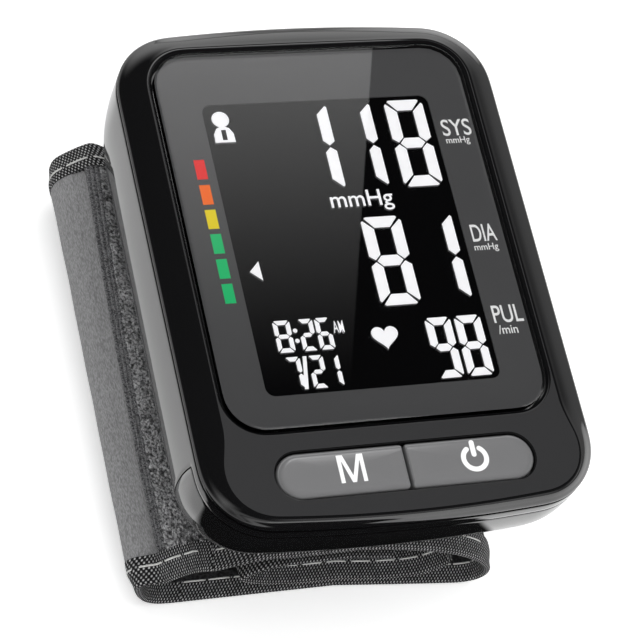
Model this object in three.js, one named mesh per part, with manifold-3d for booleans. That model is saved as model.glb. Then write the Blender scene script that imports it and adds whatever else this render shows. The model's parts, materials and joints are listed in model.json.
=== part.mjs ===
// Wrist blood pressure monitor lying on its collapsed cuff, display up.
// Millimetres, +Z up, +Y towards the top of the display, origin on the table under the middle of the case.
import * as THREE from "three";
import { mergeVertices } from "three/addons/utils/BufferGeometryUtils.js";
import Module from "manifold-3d";

const wasm = await Module();
wasm.setup();

// Case
const UNIT_WIDTH = 62;
const UNIT_LENGTH = 85.6;
const CORNER_RADIUS = 10.5;
const END_BOW = 0.8;
const FACE_HEIGHT = 43;
const FRONT_THICKNESS = 2.4;
const RIM_LAND = 0.5;
const WINDOW_PROUD = 0.2;
const BEVEL_WIDTH = 4.2;
const PANEL_EDGE = 0.8;
const BEVEL_RUNOUT_START = 2.8;
const BEVEL_RUNOUT_LENGTH = 14;
const SIDE_STEPS = 12;
const PARTING_GAP = 0.5;
const BACK_ARCH = 1;
const ARCH_HALF_SPAN = 20;
const WALL = 1.8;
const FLOOR_THICKNESS = 1.6;
const SIDE_TUCK = 4.5;
const SIDE_TUCK_POWER = 6;
const END_TUCK = 9;
const END_TUCK_POWER = 3;
const TONGUE_HEIGHT = 2;
const TONGUE_WALL = 0.7;
const FIT = 0.3;

// Window and display stack
const WINDOW_SIDE_MARGIN = 5.4;
const WINDOW_TOP_MARGIN = 5.3;
const BUTTON_PANEL_HEIGHT = 15.7;
const WINDOW_RADIUS = 6;
const WINDOW_THICKNESS = 1.2;
const LIP_CHAMFER = 0.9;
const MASK_THICKNESS = 0.2;
const FILM_GAP = 0.1;
const MASK_SIDE_BORDER = 6.9;
const VIEW_HEIGHT = 50;
const VIEW_BELOW_WINDOW_CENTRE = 1.7;
const LCD_BORDER = 1.8;
const LCD_THICKNESS = 1.8;
const LCD_DEPTH = 0.35;
const GUIDE_THICKNESS = 2;
const FRAME_WALL = 1;
const STRIP_WIDTH = 2;
const BOARD_THICKNESS = 1.6;
const BOARD_POST_GAP = 0.6;
const BOARD_END_MARGIN = 4.8;
const BOARD_DROP = 6.4;
const CHIP_SIZE = 10;
const CHIP_HEIGHT = 1.3;
const CHIP_OFFSET = 4;

// Buttons
const SLOT_LENGTH = 40.9;
const SLOT_HEIGHT = 7.7;
const SLOT_ABOVE_END = 8.15;
const BUTTON_CLEARANCE = 0.25;
const BUTTON_SPLIT = 0.5;
const BUTTON_PROUD = 0.4;
const BUTTON_CROWN = 0.5;
const BUTTON_FLANGE = 0.5;
const FLANGE_THICKNESS = 0.8;
const BUTTON_TRAVEL = 0.7;
const SWITCH_SIZE = 6;
const SWITCH_BODY = 1.2;
const PLUNGER_RADIUS = 1.6;

// Batteries and their door
const CELL_RADIUS = 5.25;
const CELL_LENGTH = 43.5;
const NUB_RADIUS = 1.9;
const NUB_LENGTH = 1;
const CELL_GAP = 0.7;
const CRADLE_WALL = 1.1;
const CRADLE_FLOOR = 0.6;
const CELL_HEADROOM = 1.1;
const CONTACT_ROOM = 4.8;
const SPRING_TURNS = 3;
const SPRING_RADIUS = 2.8;
const SPRING_WIRE = 0.3;
const CONTACT_THICKNESS = 0.4;
const DOOR_LENGTH = 14.5;
const DOOR_BELOW_RIM = 1.8;
const DOOR_ARC_RADIUS = 34;
const DOOR_GAP = 0.25;
const DOOR_TONGUE_LENGTH = 4;
const DOOR_TONGUE_WIDTH = 6;
const DOOR_TONGUE_OFFSET = 18;

// Air circuit
const MOTOR_DIAMETER = 11.4;
const MOTOR_HEIGHT = 11;
const MOTOR_HEADROOM = 0.9;
const MOTOR_LENGTH = 20;
const PUMP_HEAD_LENGTH = 11;
const CRADLE_SIDE_GAP = 0.5;
const PUMP_START = -17;
const NIPPLE_RADIUS = 1.4;
const NIPPLE_LENGTH = 2.6;
const HOSE_RADIUS = 2.1;
const VALVE_SIZE = new THREE.Vector3(10, 17, 9.6);
const VALVE_START = -14;
const MANIFOLD_SIZE = new THREE.Vector3(15, 5, 5);
const MANIFOLD_CENTRE = new THREE.Vector2(1.5, 23.4);
const MANIFOLD_RAISE = 1.5;
const SENSOR_SIZE = new THREE.Vector3(7, 7, 3.4);
const SENSOR_CENTRE = new THREE.Vector2(-15, 27.5);
const SENSOR_NIPPLE_DROP = 0.4;
const PORT_RADIUS = 2;
const PORT_TIP_DEPTH = 3.4;

// Case screws
const SCREW_SIDE_MARGIN = 6.7;
const SCREW_UPPER_Y = 23.5;
const SCREW_LOWER_Y = -21.5;
const POST_RADIUS = 2.2;
const BOSS_RADIUS = 2.7;
const SCREW_RADIUS = 1;
const SCREW_HEAD_RADIUS = 1.7;
const SCREW_HEAD_HEIGHT = 1.6;
const SCREW_CLEARANCE = 0.3;
const SCREW_GRIP = 5;
const HEAD_RECESS = 3.6;

// Cuff
const CUFF_WIDTH = 71.5;
const CUFF_CENTRE_Y = -0.75;
const BINDING_DEPTH = 4.2;
const STRAP_THICKNESS = 2.4;
const COVER_THICKNESS = 1.4;
const LINING_THICKNESS = 1.2;
const PUFF_OUT = 3;
const PUFF_IN = 2;
const CROWN_POWER = 3.5;
const TAB_TWIST = 1.4;
const STIFFENER_THICKNESS = 0.8;
const STIFFENER_MARGIN = 6.5;
const BLADDER_MARGIN = 7.5;
const FLAP_THICKNESS = 1.8;
const PATCH_THICKNESS = 0.5;
const HOOK_START = 5.4;
const HOOK_LENGTH = 3.4;
const LOOP_LENGTH = 3.6;
const LOOP_END_MARGIN = 0.4;
const PATCH_MARGIN = 8;
const STUD_RADIUS = 1.5;
const STUD_OFFSET = new THREE.Vector2(6, 20);
const STUD_DEPTH = 1.8;

// Worked-out levels and edges
const halfWidth = UNIT_WIDTH / 2;
const halfLength = UNIT_LENGTH / 2;
const panelZ = FACE_HEIGHT - WINDOW_PROUD;
const partingZ = panelZ - FRONT_THICKNESS;
const rimZ = partingZ - PARTING_GAP;
const boardTop = FACE_HEIGHT - BOARD_DROP;
const boardUnder = boardTop - BOARD_THICKNESS;
const cellStack = 2 * CELL_RADIUS + CELL_HEADROOM + CRADLE_FLOOR + 2 * FIT;
const pumpStack = MOTOR_HEIGHT + MOTOR_HEADROOM + FIT;
const floorZ = boardUnder - Math.max(cellStack, pumpStack);
const cellZ = floorZ + FIT + CRADLE_FLOOR + FIT + CELL_RADIUS;
const cellSpacing = 2 * CELL_RADIUS + CELL_GAP;
const backZ = floorZ - FLOOR_THICKNESS - BACK_ARCH;
const backDepth = rimZ - backZ;
const windowTop = halfLength - WINDOW_TOP_MARGIN;
const windowBottom = -halfLength + BUTTON_PANEL_HEIGHT;
const windowHalf = halfWidth - WINDOW_SIDE_MARGIN;
const windowUnder = FACE_HEIGHT - WINDOW_THICKNESS;
const maskTop = windowUnder - FILM_GAP;
const ledgeZ = maskTop - MASK_THICKNESS - FILM_GAP;
const viewY = (windowTop + windowBottom) / 2 - VIEW_BELOW_WINDOW_CENTRE;
const lcdTop = maskTop - MASK_THICKNESS - LCD_DEPTH;
const viewHalfX = windowHalf - MASK_SIDE_BORDER;
const lcdHalfX = viewHalfX + LCD_BORDER;
const lcdHalfY = VIEW_HEIGHT / 2 + LCD_BORDER;
const guideTop = lcdTop - LCD_THICKNESS - FIT;
const slotY = -halfLength + SLOT_ABOVE_END;
const doorTop = rimZ - DOOR_BELOW_RIM;
const doorEdgeY = -halfLength + DOOR_LENGTH;
const cuffLow = CUFF_CENTRE_Y - CUFF_WIDTH / 2;
const cuffHigh = CUFF_CENTRE_Y + CUFF_WIDTH / 2;

// Materials
function paint(color, roughness, metalness) {
  return new THREE.MeshStandardMaterial({ color, roughness, metalness });
}

const glossBlack = () => paint(0x101012, 0.12, 0);
const greyButton = () => paint(0x6f7174, 0.35, 0);
const clearWindow = () => paint(0xd8dcdf, 0.03, 0);
const greyPrint = () => paint(0x46484b, 0.3, 0);
const darkGlass = () => paint(0x08090b, 0.08, 0);
const whitePlastic = () => paint(0xe6e6e2, 0.4, 0);
const blackRubber = () => paint(0x1b1b1d, 0.8, 0);
const boardGreen = () => paint(0x1d5b38, 0.45, 0);
const steel = () => paint(0xb4b6b8, 0.3, 1);
const siliconeHose = () => paint(0xcfcac0, 0.5, 0);
const cellJacket = () => paint(0x3a5f86, 0.4, 0);
const darkFabric = () => paint(0x4a4b4e, 0.95, 0);
const tabFabric = () => paint(0x7c7d80, 0.9, 0);
const bladderFilm = () => paint(0x8d8f8c, 0.5, 0);

// Solids
const clamp01 = (value) => Math.min(1, Math.max(0, value));

function smooth(from, to, value) {
  const t = clamp01((value - from) / (to - from));
  return t * t * (3 - 2 * t);
}

function solid(geometry) {
  const bare = geometry.clone();
  bare.deleteAttribute("normal");
  bare.deleteAttribute("uv");
  const merged = mergeVertices(bare, 1e-5);
  const vertProperties = new Float32Array(merged.attributes.position.array);
  const triVerts = new Uint32Array(merged.index.array);
  return new wasm.Manifold(new wasm.Mesh({ numProp: 3, vertProperties, triVerts }));
}

function cut(body, ...tools) {
  return tools.reduce((left, tool) => left.subtract(tool), body);
}

function join(body, ...others) {
  return others.reduce((left, other) => left.add(other), body);
}

function piece(name, body, material) {
  const { vertProperties, triVerts } = body.getMesh();
  const geometry = new THREE.BufferGeometry();
  geometry.setAttribute("position", new THREE.BufferAttribute(vertProperties, 3));
  geometry.setIndex(new THREE.BufferAttribute(triVerts, 1));
  geometry.computeVertexNormals();
  const mesh = new THREE.Mesh(geometry, material);
  mesh.name = name;
  return mesh;
}

function box(x0, x1, y0, y1, z0, z1) {
  const geometry = new THREE.BoxGeometry(x1 - x0, y1 - y0, z1 - z0);
  geometry.translate((x0 + x1) / 2, (y0 + y1) / 2, (z0 + z1) / 2);
  return solid(geometry);
}

function rodZ(x, y, z0, z1, radius, sides = 20) {
  const geometry = new THREE.CylinderGeometry(radius, radius, z1 - z0, sides);
  geometry.rotateX(Math.PI / 2);
  geometry.translate(x, y, (z0 + z1) / 2);
  return solid(geometry);
}

function rodY(x, z, y0, y1, radius, sides = 20) {
  const geometry = new THREE.CylinderGeometry(radius, radius, y1 - y0, sides);
  geometry.translate(x, (y0 + y1) / 2, z);
  return solid(geometry);
}

function rodX(y, z, x0, x1, radius, sides = 20) {
  const geometry = new THREE.CylinderGeometry(radius, radius, x1 - x0, sides);
  geometry.rotateZ(Math.PI / 2);
  geometry.translate((x0 + x1) / 2, y, z);
  return solid(geometry);
}

function tube(points, radius, sides = 8, steps = 3 * points.length) {
  const section = new THREE.Shape();
  section.absarc(0, 0, radius, 0, 2 * Math.PI, false);
  const extrudePath = new THREE.CatmullRomCurve3(points, false, "centripetal");
  const options = { extrudePath, steps, curveSegments: sides / 2, bevelEnabled: false };
  return solid(new THREE.ExtrudeGeometry(section, options));
}

// Closed outline of a rounded rectangle whose short ends bow outwards, anticlockwise from the lower right.
function outline(halfX, halfY, radius, bow = END_BOW, sideSteps = 1) {
  const cornerSteps = 5;
  const endSteps = bow > 0 ? 6 : 1;
  const cornerX = halfX - radius;
  const cornerY = halfY - bow - radius;
  const points = [];
  for (const turn of [1, -1]) {
    for (let i = 0; i < sideSteps; i += 1) {
      points.push(new THREE.Vector2(turn * halfX, turn * cornerY * (2 * i / sideSteps - 1)));
    }
    for (let i = 0; i < cornerSteps; i += 1) {
      const angle = (Math.PI / 2) * (i / cornerSteps);
      const x = cornerX + radius * Math.cos(angle);
      points.push(new THREE.Vector2(turn * x, turn * (cornerY + radius * Math.sin(angle))));
    }
    for (let i = 0; i < endSteps; i += 1) {
      const share = 1 - 2 * i / endSteps;
      points.push(new THREE.Vector2(turn * cornerX * share, turn * (halfY - bow * share * share)));
    }
    for (let i = 0; i < cornerSteps; i += 1) {
      const angle = (Math.PI / 2) * (1 + i / cornerSteps);
      const x = -cornerX + radius * Math.cos(angle);
      points.push(new THREE.Vector2(turn * x, turn * (cornerY + radius * Math.sin(angle))));
    }
  }
  return points;
}

function insetOutline(inset, sideSteps = 1) {
  return outline(halfWidth - inset, halfLength - inset, CORNER_RADIUS - inset, END_BOW, sideSteps);
}

// Solid through a stack of outlines of equal length, each at its own height, closed by flat ends.
function loft(levels) {
  const count = levels[0].points.length;
  const positions = levels.flatMap(({ points, z }) => points.flatMap((p) => [p.x, p.y, z]));
  const index = [];
  for (let level = 0; level + 1 < levels.length; level += 1) {
    for (let i = 0; i < count; i += 1) {
      const a = level * count + i;
      const b = level * count + (i + 1) % count;
      index.push(a, b, b + count, a, b + count, a + count);
    }
  }
  const top = (levels.length - 1) * count;
  for (const [a, b, c] of THREE.ShapeUtils.triangulateShape(levels[0].points, [])) {
    index.push(a, c, b);
  }
  for (const [a, b, c] of THREE.ShapeUtils.triangulateShape(levels.at(-1).points, [])) {
    index.push(top + a, top + b, top + c);
  }
  const geometry = new THREE.BufferGeometry();
  geometry.setAttribute("position", new THREE.Float32BufferAttribute(positions, 3));
  geometry.setIndex(index);
  return solid(geometry);
}

function plate(points, z0, z1) {
  return loft([{ points, z: z0 }, { points, z: z1 }]);
}

function roundedPlate(x0, x1, y0, y1, radius, z0, z1, flare = 0) {
  const centre = new THREE.Vector2((x0 + x1) / 2, (y0 + y1) / 2);
  const ring = (grow) => outline((x1 - x0) / 2 + grow, (y1 - y0) / 2 + grow, radius + grow, 0);
  const move = (points) => points.map((p) => p.add(centre));
  return loft([{ points: move(ring(0)), z: z0 }, { points: move(ring(flare)), z: z1 }]);
}

// Front cover: bevelled top, sides and a wide flat button panel
function crestOutline() {
  const wide = insetOutline(BEVEL_WIDTH, SIDE_STEPS);
  const runoutLow = -halfLength + BEVEL_RUNOUT_START;
  return insetOutline(PANEL_EDGE, SIDE_STEPS).map((p, i) => {
    const share = smooth(runoutLow, runoutLow + BEVEL_RUNOUT_LENGTH, wide[i].y);
    return p.lerp(wide[i], share);
  });
}

function windowPlate(grow, z0, z1, flare = 0) {
  const low = windowBottom - grow;
  const high = windowTop + grow;
  const half = windowHalf + grow;
  return roundedPlate(-half, half, low, high, WINDOW_RADIUS + grow, z0, z1, flare);
}

function stadium(grow) {
  const radius = SLOT_HEIGHT / 2 + grow;
  const centre = new THREE.Vector2(0, slotY);
  return outline(SLOT_LENGTH / 2 + grow, radius, radius - 0.01, 0).map((p) => p.add(centre));
}

const screwX = halfWidth - SCREW_SIDE_MARGIN;
const screwPlaces = [
  new THREE.Vector2(-screwX, SCREW_UPPER_Y),
  new THREE.Vector2(screwX, SCREW_UPPER_Y),
  new THREE.Vector2(-screwX, SCREW_LOWER_Y),
  new THREE.Vector2(screwX, SCREW_LOWER_Y),
];
const screwTip = partingZ - FIT;
const postFoot = screwTip - SCREW_GRIP - FIT;
const bossTop = postFoot - FIT;
const screwSeat = backZ + HEAD_RECESS;

function frontCover() {
  let body = loft([
    { points: insetOutline(0, SIDE_STEPS), z: partingZ },
    { points: insetOutline(0, SIDE_STEPS), z: partingZ + RIM_LAND },
    { points: crestOutline(), z: panelZ },
  ]);
  const tongueOuter = insetOutline(WALL + FIT);
  const tongueInner = insetOutline(WALL + FIT + TONGUE_WALL);
  const tongueFoot = partingZ - TONGUE_HEIGHT;
  body = join(body, cut(
    plate(tongueOuter, tongueFoot, partingZ + RIM_LAND),
    plate(tongueInner, tongueFoot - 1, partingZ + 2 * RIM_LAND),
  ));
  for (const place of screwPlaces) {
    body = join(body, rodZ(place.x, place.y, postFoot, partingZ + RIM_LAND, POST_RADIUS, 16));
  }
  for (const place of screwPlaces) {
    body = cut(body, rodZ(place.x, place.y, postFoot - 1, screwTip + FIT, SCREW_RADIUS + SCREW_CLEARANCE, 12));
  }
  return cut(
    body,
    windowPlate(FIT, ledgeZ, panelZ - LIP_CHAMFER / 2),
    windowPlate(FIT, panelZ - LIP_CHAMFER / 2, panelZ, LIP_CHAMFER),
    box(
      -lcdHalfX - FIT, lcdHalfX + FIT, viewY - lcdHalfY - FIT, viewY + lcdHalfY + FIT,
      partingZ - 1, panelZ,
    ),
    plate(stadium(0), partingZ - 1, panelZ + 1),
  );
}

// Display stack under the window
const guideHalfX = lcdHalfX - FIT;
const guideLow = viewY - lcdHalfY + STRIP_WIDTH + 3 * FIT;
const guideHigh = viewY + lcdHalfY - FIT;

function windowMask() {
  const sheet = windowPlate(-FIT, maskTop - MASK_THICKNESS, maskTop);
  const halfY = VIEW_HEIGHT / 2;
  return cut(sheet, roundedPlate(
    -viewHalfX, viewHalfX, viewY - halfY, viewY + halfY, 1.5, maskTop - 1, maskTop + 1,
  ));
}

function lcdFrame() {
  const innerX = lcdHalfX + FIT;
  const innerY = lcdHalfY + FIT;
  const outerX = innerX + FRAME_WALL;
  const outerY = innerY + FRAME_WALL;
  const foot = boardTop + FIT;
  const head = partingZ - FIT;
  return cut(
    box(-outerX, outerX, viewY - outerY, viewY + outerY, foot, head),
    box(-innerX, innerX, viewY - innerY, viewY + innerY, foot - 1, head + 1),
  );
}

function mainBoard() {
  const halfX = screwX - POST_RADIUS - BOARD_POST_GAP;
  const halfY = halfLength - BOARD_END_MARGIN;
  return roundedPlate(-halfX, halfX, -halfY, halfY, 4, boardUnder, boardTop);
}

function controllerChip() {
  const low = bulkheadY + CHIP_OFFSET;
  const under = boardUnder - FIT / 2 - CHIP_HEIGHT;
  return box(0, CHIP_SIZE, low, low + CHIP_SIZE, under, under + CHIP_HEIGHT);
}

// Two button caps share one long slot; each is the part of the stadium on its own side of the split.
function buttonCap(side) {
  const reach = SLOT_LENGTH;
  const near = BUTTON_SPLIT / 2;
  const sideBox = box(
    side > 0 ? near : -reach, side > 0 ? reach : -near,
    slotY - reach, slotY + reach, partingZ - reach, panelZ + reach,
  );
  const flangeTop = partingZ - FIT;
  const capTop = panelZ + BUTTON_PROUD;
  const cap = loft([
    { points: stadium(-BUTTON_CLEARANCE), z: flangeTop - FLANGE_THICKNESS },
    { points: stadium(-BUTTON_CLEARANCE), z: panelZ },
    { points: stadium(-BUTTON_CLEARANCE - BUTTON_CROWN), z: capTop },
  ]);
  const flange = plate(stadium(BUTTON_FLANGE), flangeTop - FLANGE_THICKNESS, flangeTop);
  return join(cap, flange).intersect(sideBox);
}

function buttonSwitch(side) {
  const x = side * SLOT_LENGTH / 4;
  const half = SWITCH_SIZE / 2;
  const foot = boardTop + FIT / 2;
  const plungerTop = partingZ - FIT - FLANGE_THICKNESS - BUTTON_TRAVEL - FIT / 2;
  const body = box(x - half, x + half, slotY - half, slotY + half, foot, foot + SWITCH_BODY);
  return join(body, rodZ(x, slotY, foot, plungerTop, PLUNGER_RADIUS, 16));
}

// Back shell: the sides stay upright and turn under late, the ends lean in earlier
function backLevels(wall, lowest) {
  const shares = [0, 0.3, 0.52, 0.7, 0.83, 0.92, 1];
  return shares.map((share) => {
    const z = rimZ - share * (rimZ - lowest);
    const depth = (rimZ - z) / backDepth;
    const tuckX = wall + SIDE_TUCK * depth ** SIDE_TUCK_POWER;
    const tuckY = wall + END_TUCK * depth ** END_TUCK_POWER;
    const radius = CORNER_RADIUS - wall;
    return { points: outline(halfWidth - tuckX, halfLength - tuckY, radius), z };
  }).reverse();
}

function backShell() {
  const outer = loft(backLevels(0, backZ));
  const inner = loft(backLevels(WALL, floorZ));
  const innerMouth = plate(insetOutline(WALL), rimZ - FIT, rimZ + 1);
  const archRadius = (ARCH_HALF_SPAN ** 2 + BACK_ARCH ** 2) / (2 * BACK_ARCH);
  const archZ = backZ + BACK_ARCH - archRadius;
  const arch = rodY(0, archZ, -halfLength, halfLength, archRadius, 180);
  return cut(outer, inner, innerMouth, arch);
}

// The door is the lower end of the back shell, below a thin rim and in front of an arched seam.
function doorZone(gap) {
  const front = doorEdgeY - gap;
  const block = box(-UNIT_WIDTH, UNIT_WIDTH, -UNIT_LENGTH, front, 0, doorTop - gap);
  const seamZ = (doorTop + backZ) / 2;
  return block.intersect(join(
    rodX(front - DOOR_ARC_RADIUS, seamZ, -UNIT_WIDTH, UNIT_WIDTH, DOOR_ARC_RADIUS, 96),
    box(-UNIT_WIDTH, UNIT_WIDTH, -UNIT_LENGTH, front - DOOR_ARC_RADIUS, 0, doorTop),
  ));
}

const bridgeY = -halfLength + END_TUCK * ((rimZ - cellZ + CELL_RADIUS) / backDepth) ** END_TUCK_POWER + WALL;
const cellLow = bridgeY + FIT + CONTACT_THICKNESS + FIT;
const cellHigh = cellLow + CELL_LENGTH + NUB_LENGTH;
const bulkheadY = cellHigh + CONTACT_ROOM;
const cradleHalf = cellSpacing / 2 + CELL_RADIUS + FIT;

function backCover() {
  let body = cut(backShell(), doorZone(0));
  for (const place of screwPlaces) {
    body = join(body, rodZ(place.x, place.y, floorZ - FLOOR_THICKNESS, bossTop, BOSS_RADIUS, 16));
  }
  body = body.intersect(loft(backLevels(0, backZ)));
  const shank = SCREW_RADIUS + SCREW_CLEARANCE;
  const head = SCREW_HEAD_RADIUS + SCREW_CLEARANCE;
  for (const place of screwPlaces) {
    body = cut(
      body,
      rodZ(place.x, place.y, 0, bossTop + 1, shank, 12),
      rodZ(place.x, place.y, 0, screwSeat, head, 16),
    );
  }
  const studHole = STUD_RADIUS + FIT;
  for (const place of studPlaces) {
    body = cut(body, rodZ(place.x, place.y, 0, floorZ + 1, studHole, 12));
  }
  return cut(body, rodZ(MANIFOLD_CENTRE.x, MANIFOLD_CENTRE.y, 0, floorZ + 1, PORT_RADIUS + FIT, 16));
}

function batteryDoor() {
  const shell = backShell().intersect(doorZone(DOOR_GAP));
  const ribHalf = cellSpacing / 2;
  const rib = box(
    -ribHalf, ribHalf, -halfLength, bridgeY, cellZ - CELL_RADIUS / 2, cellZ + CELL_RADIUS / 2,
  ).intersect(loft(backLevels(WALL / 2, floorZ)));
  let body = join(shell, rib);
  const tongueLow = floorZ + FIT;
  for (const side of [-1, 1]) {
    const x0 = side * DOOR_TONGUE_OFFSET - DOOR_TONGUE_WIDTH / 2;
    const x1 = x0 + DOOR_TONGUE_WIDTH;
    const root = doorEdgeY - DOOR_TONGUE_LENGTH - WALL;
    body = join(
      body,
      box(x0, x1, root, doorEdgeY + DOOR_TONGUE_LENGTH, tongueLow, tongueLow + WALL / 2),
      box(x0, x1, root, doorEdgeY - DOOR_TONGUE_LENGTH, floorZ - WALL / 2, tongueLow + WALL / 2),
    );
  }
  return body;
}

// Self-tapping screw from below, its head's upper face at the local origin.
function caseScrew() {
  const length = screwTip - screwSeat + FIT;
  return join(
    rodZ(0, 0, -SCREW_HEAD_HEIGHT, length, SCREW_RADIUS, 12),
    rodZ(0, 0, -SCREW_HEAD_HEIGHT, 0, SCREW_HEAD_RADIUS, 16),
  );
}

// Batteries
function cell(x, flip) {
  const profile = [
    new THREE.Vector2(0, 0),
    new THREE.Vector2(CELL_RADIUS, 0),
    new THREE.Vector2(CELL_RADIUS, CELL_LENGTH),
    new THREE.Vector2(NUB_RADIUS, CELL_LENGTH),
    new THREE.Vector2(NUB_RADIUS, CELL_LENGTH + NUB_LENGTH),
    new THREE.Vector2(0, CELL_LENGTH + NUB_LENGTH),
  ];
  const geometry = new THREE.LatheGeometry(profile, 20);
  if (flip) {
    geometry.rotateX(Math.PI);
    geometry.translate(0, CELL_LENGTH + NUB_LENGTH, 0);
  }
  geometry.translate(x, cellLow, cellZ);
  return solid(geometry);
}

function batteryCradle() {
  const outer = cradleHalf + CRADLE_WALL;
  const low = floorZ + FIT;
  const start = doorEdgeY + 1;
  const end = bulkheadY + CRADLE_WALL;
  const top = boardUnder - FIT;
  const shell = box(-outer, outer, start, end, low, top);
  return cut(
    shell,
    box(-cradleHalf, cradleHalf, start - 1, bulkheadY, low + CRADLE_FLOOR, top + 1),
  );
}

// Sprung contact: a helix whose two ends run straight along the cell.
function batterySpring() {
  const low = cellHigh + FIT;
  const high = bulkheadY - FIT;
  const lead = 2 * SPRING_WIRE;
  const points = [];
  const stepsPerTurn = 8;
  const steps = SPRING_TURNS * stepsPerTurn;
  const centreX = cellSpacing / 2;
  points.push(new THREE.Vector3(centreX + SPRING_RADIUS, low, cellZ));
  for (let i = 0; i <= steps; i += 1) {
    const angle = (2 * Math.PI * i) / stepsPerTurn;
    const y = low + lead + (high - low - 2 * lead) * (i / steps);
    const x = centreX + SPRING_RADIUS * Math.cos(angle);
    points.push(new THREE.Vector3(x, y, cellZ + SPRING_RADIUS * Math.sin(angle)));
  }
  points.push(new THREE.Vector3(centreX + SPRING_RADIUS, high, cellZ));
  return tube(points, SPRING_WIRE, 6, steps + 4);
}

function dimpleContact() {
  const high = bulkheadY - FIT;
  const low = cellHigh + FIT;
  const profile = [
    new THREE.Vector2(0, 0),
    new THREE.Vector2(NUB_RADIUS, 0),
    new THREE.Vector2(CELL_RADIUS * 0.8, high - low - CONTACT_THICKNESS),
    new THREE.Vector2(CELL_RADIUS * 0.8, high - low),
    new THREE.Vector2(0, high - low),
  ];
  const geometry = new THREE.LatheGeometry(profile, 16);
  geometry.translate(-cellSpacing / 2, low, cellZ);
  return solid(geometry);
}

function bridgeContact() {
  const halfX = cellSpacing / 2 + NUB_RADIUS;
  const low = bridgeY + FIT;
  return box(-halfX, halfX, low, low + CONTACT_THICKNESS, cellZ - NUB_RADIUS, cellZ + NUB_RADIUS);
}

// Air circuit
const pumpX = cradleHalf + CRADLE_WALL + CRADLE_SIDE_GAP + MOTOR_DIAMETER / 2;
const valveX = -cradleHalf - CRADLE_WALL - CRADLE_SIDE_GAP - VALVE_SIZE.x / 2;
const pumpZ = floorZ + FIT + MOTOR_HEIGHT / 2;
const pumpHeadStart = PUMP_START + MOTOR_LENGTH + FIT;
const pumpHeadEnd = pumpHeadStart + PUMP_HEAD_LENGTH;
const nippleX = pumpX - MOTOR_DIAMETER / 4;
const manifoldZ = floorZ + FIT + MANIFOLD_RAISE + MANIFOLD_SIZE.z / 2;
const manifoldRight = MANIFOLD_CENTRE.x + MANIFOLD_SIZE.x / 2;
const manifoldLeft = MANIFOLD_CENTRE.x - MANIFOLD_SIZE.x / 2;
const manifoldBack = MANIFOLD_CENTRE.y + MANIFOLD_SIZE.y / 2;
const sensorZ = boardUnder - FIT / 2 - SENSOR_SIZE.z / 2;
const sensorNippleZ = sensorZ - SENSOR_NIPPLE_DROP;

function pumpMotor() {
  const can = rodY(pumpX, pumpZ, PUMP_START, PUMP_START + MOTOR_LENGTH, MOTOR_DIAMETER / 2, 24);
  const half = MOTOR_HEIGHT / 2;
  return can.intersect(box(
    0, UNIT_WIDTH, -UNIT_LENGTH, UNIT_LENGTH, pumpZ - half, pumpZ + half,
  ));
}

function pumpHead() {
  const halfX = MOTOR_DIAMETER / 2;
  const halfZ = MOTOR_HEIGHT / 2;
  const block = box(
    pumpX - halfX, pumpX + halfX, pumpHeadStart, pumpHeadEnd, pumpZ - halfZ, pumpZ + halfZ,
  );
  return join(block, rodY(nippleX, pumpZ, pumpHeadEnd - 1, pumpHeadEnd + NIPPLE_LENGTH, NIPPLE_RADIUS, 12));
}

function exhaustValve() {
  const low = floorZ + FIT;
  const halfX = VALVE_SIZE.x / 2;
  const end = VALVE_START + VALVE_SIZE.y;
  const block = box(
    valveX - halfX, valveX + halfX, VALVE_START, end, low, low + VALVE_SIZE.z,
  );
  const z = low + VALVE_SIZE.z / 2;
  return join(block, rodY(valveX, z, end - 1, end + NIPPLE_LENGTH, NIPPLE_RADIUS, 12));
}

function airManifold() {
  const half = MANIFOLD_SIZE.clone().multiplyScalar(0.5);
  const { x, y } = MANIFOLD_CENTRE;
  const block = box(
    x - half.x, x + half.x, y - half.y, y + half.y, manifoldZ - half.z, manifoldZ + half.z,
  );
  return join(
    block,
    rodX(y, manifoldZ, manifoldLeft - NIPPLE_LENGTH, manifoldLeft + 1, NIPPLE_RADIUS, 12),
    rodX(y, manifoldZ, manifoldRight - 1, manifoldRight + NIPPLE_LENGTH, NIPPLE_RADIUS, 12),
    rodY(x - half.x / 2, manifoldZ, manifoldBack - 1, manifoldBack + NIPPLE_LENGTH, NIPPLE_RADIUS, 12),
  );
}

function pressureSensor() {
  const half = SENSOR_SIZE.clone().multiplyScalar(0.5);
  const { x, y } = SENSOR_CENTRE;
  const block = box(
    x - half.x, x + half.x, y - half.y, y + half.y, sensorZ - half.z, sensorZ + half.z,
  );
  return join(block, rodX(y, sensorNippleZ, x, x + half.x + NIPPLE_LENGTH, NIPPLE_RADIUS * 0.8, 12));
}

function pumpHose() {
  const startY = pumpHeadEnd + NIPPLE_LENGTH + FIT;
  const endX = manifoldRight + NIPPLE_LENGTH + FIT;
  const endY = MANIFOLD_CENTRE.y;
  const bend = Math.min(nippleX - endX, endY - startY);
  return tube([
    new THREE.Vector3(nippleX, startY, pumpZ),
    new THREE.Vector3(nippleX, endY - bend, pumpZ),
    new THREE.Vector3(nippleX - 0.29 * bend, endY - 0.29 * bend, (pumpZ + manifoldZ) / 2),
    new THREE.Vector3(nippleX - 0.85 * bend, endY, manifoldZ),
    new THREE.Vector3(endX, endY, manifoldZ),
  ], HOSE_RADIUS);
}

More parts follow.
